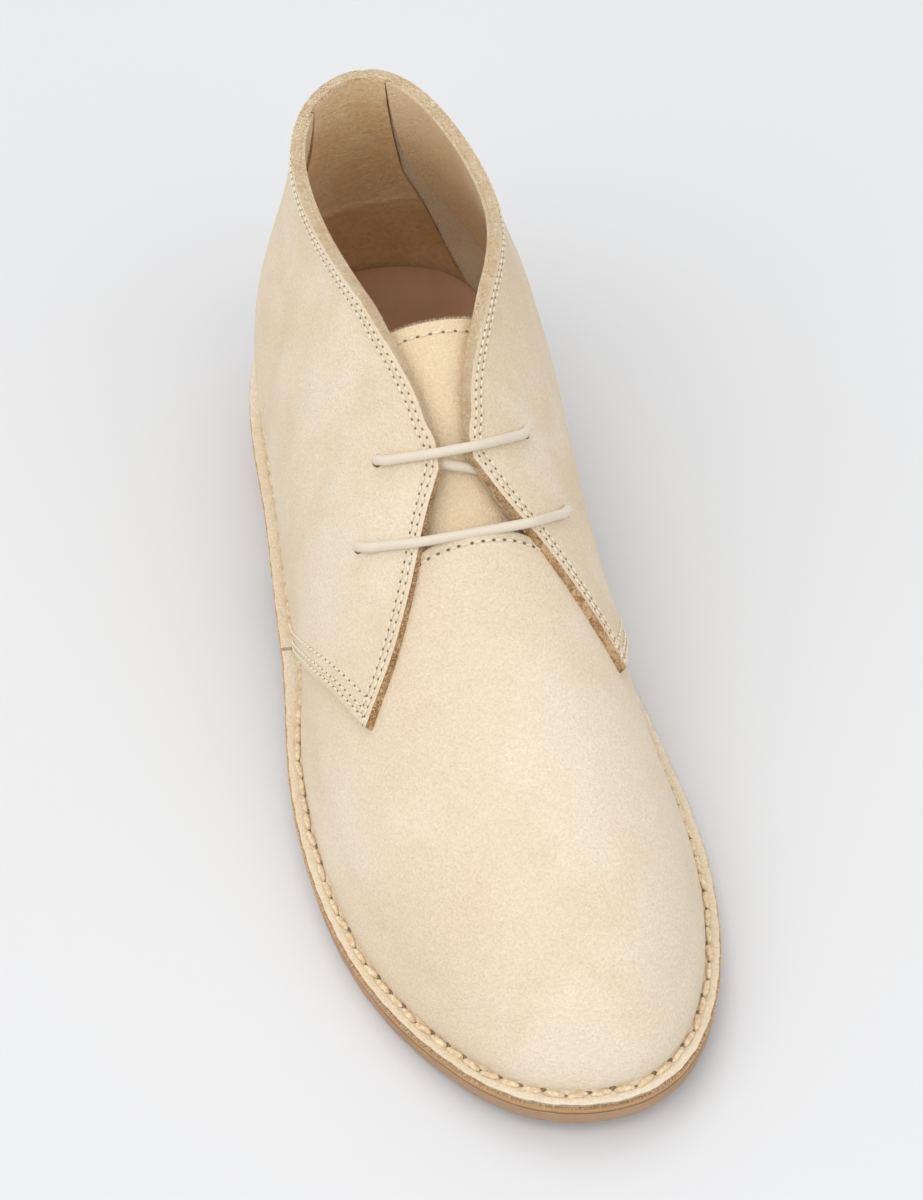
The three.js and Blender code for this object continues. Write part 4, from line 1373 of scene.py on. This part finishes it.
# stitches between the points of each path and a flat dark blob at the start of each, painted shade standing
# for the stitch hole
def stitchRow(name, paths, tree, stitch, material, spaced=False):
    spots, alongs, ups, holeSpots, holeUps = [], [], [], [], []
    for path in paths:
        line = path if spaced else evenLine(path, pitch=stitch["pitch"])
        settled, normals, gaps = settle(tree, line)
        ahead = unit(settled[1:] - settled[:-1])
        up = unit(normals[1:] + normals[:-1])
        keep = np.maximum(gaps[1:], gaps[:-1]) < stitch["reach"]
        middles = (settled[1:] + settled[:-1]) / 2 + up * stitch["proud"]
        holes = settled[:-1] + np.cross(normals[:-1], ahead) * stitch["holeSide"] \
            + normals[:-1] * stitch["holeProud"]
        found = (middles, ahead + np.cross(up, ahead) * stitch["lean"], up, holes, normals[:-1])
        for kept, values in zip((spots, alongs, ups, holeSpots, holeUps), found):
            kept.append(values[keep])
    template = stitchTemplate(stitch["length"], stitch["width"], stitch["height"], *stitch["fineness"])
    scatter(name, template, spots, alongs, ups, material, "lace")
    # a flat dark blob over each hole, painted shade standing for the hole
    template = stitchTemplate(stitch["holeLength"], stitch["holeWidth"], 0.24, 8, 4)
    scatter(name.replace("Piece", "HoleShadePiece"), template, holeSpots, alongs, holeUps, paintedHoleShade, "lace")
    return sum(len(spot) for spot in spots)


vampSurface = surfaceOf(vamp)
quarterSurface = surfaceOf(quarters)
tongueSurface = surfaceOf(tongue)

heavyStitch = {"length": 5.7, "width": 1.75, "height": 1.3, "proud": 0.68, "lean": 0.07,
               "holeLength": 1.9, "holeWidth": 1.3, "holeSide": 0.75, "holeProud": 0.3,
               "fineness": (8, 8), "reach": 1.4}


# one point for each hole of the welt seam, on the beat that the flange's dimples keep
def flangeLine(start, end):
    pitch = flangeShape["stitchPitch"]
    first, final = (np.interp(place, ringSteps, soleLength) for place in (start, end))
    if final < first:
        final += soleLength[-1]
    beats = np.arange(math.ceil(first / pitch), math.floor(final / pitch) + 1) * pitch
    place = np.interp(beats % soleLength[-1], soleLength, ringSteps)
    return edgePoint(place, stitchLine(place), 0.2)


count = stitchRow("vampWeltStitchPiece", [flangeLine(5.74, ringSize - 6.14)], vampSurface, heavyStitch,
                  heavyThread, spaced=True)
count += stitchRow("quarterWeltStitchPiece", [flangeLine(ringSize - 6.05, 5.66)], quarterSurface,
                   heavyStitch, heavyThread, spaced=True)
print("heavy stitches:", count)

fineStitch = {"pitch": 2.6, "length": 2.0, "width": 0.8, "height": 0.7, "proud": 0.25, "lean": 0.0,
              "holeLength": 0.85, "holeWidth": 0.62, "holeSide": 0.0, "holeProud": 0.02,
              "fineness": (6, 5), "reach": 0.6, "fromEdge": (1.6, 3.3), "thirdRow": 6.2}


# a line on the quarters with its normals
def quarterLine(across, up):
    place, height = quarterSpot(across, up)
    return quarterWallPoint(across, up, quarterShape["proud"]), lastNormal(place, np.minimum(height, 0.9985))


# the open edge of the quarters, from one point up the throat, round the collar and down again
frontUps = np.linspace(0.5, 1, 160)
collarAcross = np.linspace(1, -1, 700)[1:-1]
edgeLine, edgeNormal = quarterLine(
    np.concatenate([np.ones(160), collarAcross, -np.ones(160)]),
    np.concatenate([frontUps, np.ones(len(collarAcross)), frontUps[::-1]]))


def shiftedEdge(line, normals, distance, turn=1):
    inwards = unit(np.cross(normals, unit(np.gradient(line, axis=0)))) * turn
    kernel = np.ones(9) / 9
    inwards = unit(np.stack([np.convolve(np.pad(column, 4, "edge"), kernel, "valid")
                             for column in inwards.T], 1))
    return line + inwards * distance


collarRows = [shiftedEdge(edgeLine, edgeNormal, distance) for distance in fineStitch["fromEdge"]]
lowerRows = []
for side in (1, -1):
    line, normals = quarterLine(np.full(120, float(side)), np.linspace(0.03, 0.5, 120))
    lowerRows += [shiftedEdge(line, normals, distance, side)
                  for distance in (*fineStitch["fromEdge"], fineStitch["thirdRow"])]
count = stitchRow("edgeStitchPiece", collarRows, quarterSurface, fineStitch, fineThread)
count += stitchRow("lowerEdgeStitchPiece", lowerRows, quarterSurface, fineStitch, fineThread)
print("fine stitches:", count)

# loose fibres that stand off the cut edges
fibreShape = {"length": 1.1, "width": 0.11, "spread": 0.45, "sunk": 0.3, "seed": 11}
fibreDraw = np.random.default_rng(fibreShape["seed"])


def fringe(name, line, outwards, inwards, depth, count):
    lengths = walked(line)
    marks = np.sort(fibreDraw.uniform(0, lengths[-1], count))

    def along(values):
        return np.stack([np.interp(marks, lengths, values[:, k]) for k in range(3)], 1)

    heading = unit(along(outwards) + fibreDraw.normal(0, fibreShape["spread"], (count, 3)))
    roots = along(line) + along(inwards) * fibreDraw.uniform(*depth, (count, 1))
    side = unit(np.cross(heading, fibreDraw.normal(0, 1, (count, 3))))
    deselectAll()
    bpy.ops.mesh.primitive_cone_add(vertices=3, radius1=fibreShape["width"] / 2,
                                    radius2=fibreShape["width"] / 6, depth=fibreShape["length"],
                                    rotation=(0, math.pi / 2, 0))
    template = bpy.context.active_object
    bpy.ops.object.transform_apply(rotation=True)
    writePoints(template, readPoints(template) * mm)
    spots = roots + heading * fibreShape["length"] * fibreShape["sunk"]
    scatter(name, template, spots, heading, side, looseFibre, "suede")


collarInwards = unit(shiftedEdge(edgeLine, edgeNormal, 1.0) - edgeLine)
fringe("collarFibresPiece", edgeLine, -collarInwards, -edgeNormal, (0.1, 3.6), 4200)
tongueRow = np.linspace(-0.95, 0.95, 120)
tongueTop = tongueAt(tongueRow, np.ones(120))
tongueAhead = unit(tongueTop - tongueAt(tongueRow, np.full(120, 0.96)))
tongueDown = -unit(np.cross(np.gradient(tongueTop, axis=0), tongueAhead))
fringe("tongueFibresPiece", tongueTop, tongueAhead, tongueDown, (0.0, 1.2), 900)
flangeRow = np.linspace(0, ringSize, 600)
flangeRim = edgePoint(flangeRow, flangeShape["width"], -0.3)
flangeOut = unit(edgePoint(flangeRow, flangeShape["width"] + 1, -0.3) - flangeRim)
flangeDown = np.tile([0.0, 0.0, -1.0], (600, 1))
fringe("flangeFibresPiece", flangeRim, flangeOut, flangeDown, (-0.2, 1.3), 3600)
print("loose fibres made")

tongueStitch = dict(fineStitch, pitch=3.4, length=2.2, width=0.75, height=0.55,
                    holeLength=1.15, holeWidth=0.85)
tongueLine = tongueAt(np.linspace(-0.93, 0.93, 200), np.full(200, 0.945))
stitchRow("tongueStitchPiece", [tongueLine], tongueSurface, tongueStitch, fineThread)

# the seam that holds the tongue, beside the back edge of the vamp
seamAcross = np.linspace(0, 1, 240)
seamSide = np.where(seamAcross < 0.5, -1, 1)
seamHeights = 1 - np.abs(seamAcross - 0.5) * 0.72
seamPlaces = -seamSide * (vampBackAt(seamSide, seamHeights) + 0.085)
seamLine = shellPoint(seamPlaces, seamHeights, vampShape["proud"])
stitchRow("tongueSeamStitchPiece", [seamLine[:119], seamLine[121:]], vampSurface,
          dict(tongueStitch, pitch=3.0, length=2.0), fineThread)
print("stitching done")

stageShape = {"size": 6.0, "pale": (0.745, 0.755, 0.775), "deep": (0.735, 0.745, 0.765)}
deselectAll()
bpy.ops.mesh.primitive_plane_add(size=stageShape["size"])
floor = bpy.context.active_object
namePiece(floor, "floor")
paperFloor, paperTree, paperShader = newMaterial("paperFloor", Roughness=0.9, Specular_IOR_Level=0.1)
paper = noiseNode(paperTree, (-600, 0), objectCoordinates(paperTree), 3.0, 2)
paperMix = rangeNode(paperTree, (-350, 0), paper, 0.3, 0.7)
feedAll(paperTree, paperShader, Base_Color=mixColour(paperTree, (-100, 0), paperMix, stageShape["deep"],
                                                     stageShape["pale"]))
giveMaterials(floor, paperFloor)

lightRig = {
    "key": {"at": (-1.2, -0.8, 1.9), "size": 2.4, "power": 22, "colour": (1.0, 0.98, 0.955)},
    "fill": {"at": (0.9, -1.2, 1.7), "size": 2.0, "power": 11, "colour": (1.0, 0.985, 0.96)},
    "back": {"at": (-0.1, 0.9, 2.1), "size": 1.6, "power": 9, "colour": (1.0, 0.99, 0.98)},
}
lightAim = (0, 0, 0.04)
for name, light in lightRig.items():
    deselectAll()
    bpy.ops.object.light_add(type="AREA", location=light["at"])
    lamp = bpy.context.active_object
    lamp.name = name + "Light"
    lamp.data.shape = "DISK"
    lamp.data.size = light["size"]
    lamp.data.energy = light["power"]
    lamp.data.color = light["colour"]
    aim = Vector(lightAim) - Vector(light["at"])
    lamp.rotation_euler = aim.to_track_quat("-Z", "Y").to_euler()

world = bpy.data.worlds.new("studio")
world.use_nodes = True
feedAll(world.node_tree, world.node_tree.nodes["Background"], Color=(0.99, 0.995, 1.0), Strength=0.64)
bpy.context.scene.world = world
bpy.context.scene.view_settings.view_transform = "Standard"

cameraShape = {
    "at": (-0.0881, -0.6179, 0.764),
    "aim": (0.0015, 0.0045, 0.035),
    "level": (0.9745, -0.2246, 0.03),    # the picture's level direction
    "lens": 105,
}
deselectAll()
bpy.ops.object.camera_add(location=cameraShape["at"])
camera = bpy.context.active_object
camera.data.lens = cameraShape["lens"]
camera.data.sensor_fit = "VERTICAL"
camera.data.sensor_height = 36
camera.data.clip_start = 0.01
ahead = (Vector(cameraShape["aim"]) - Vector(cameraShape["at"])).normalized()
level = Vector(cameraShape["level"])
level = (level - ahead * level.dot(ahead)).normalized()
camera.rotation_euler = Matrix((level, level.cross(ahead), -ahead)).transposed().to_euler()
bpy.context.scene.camera = camera
print("stage set")
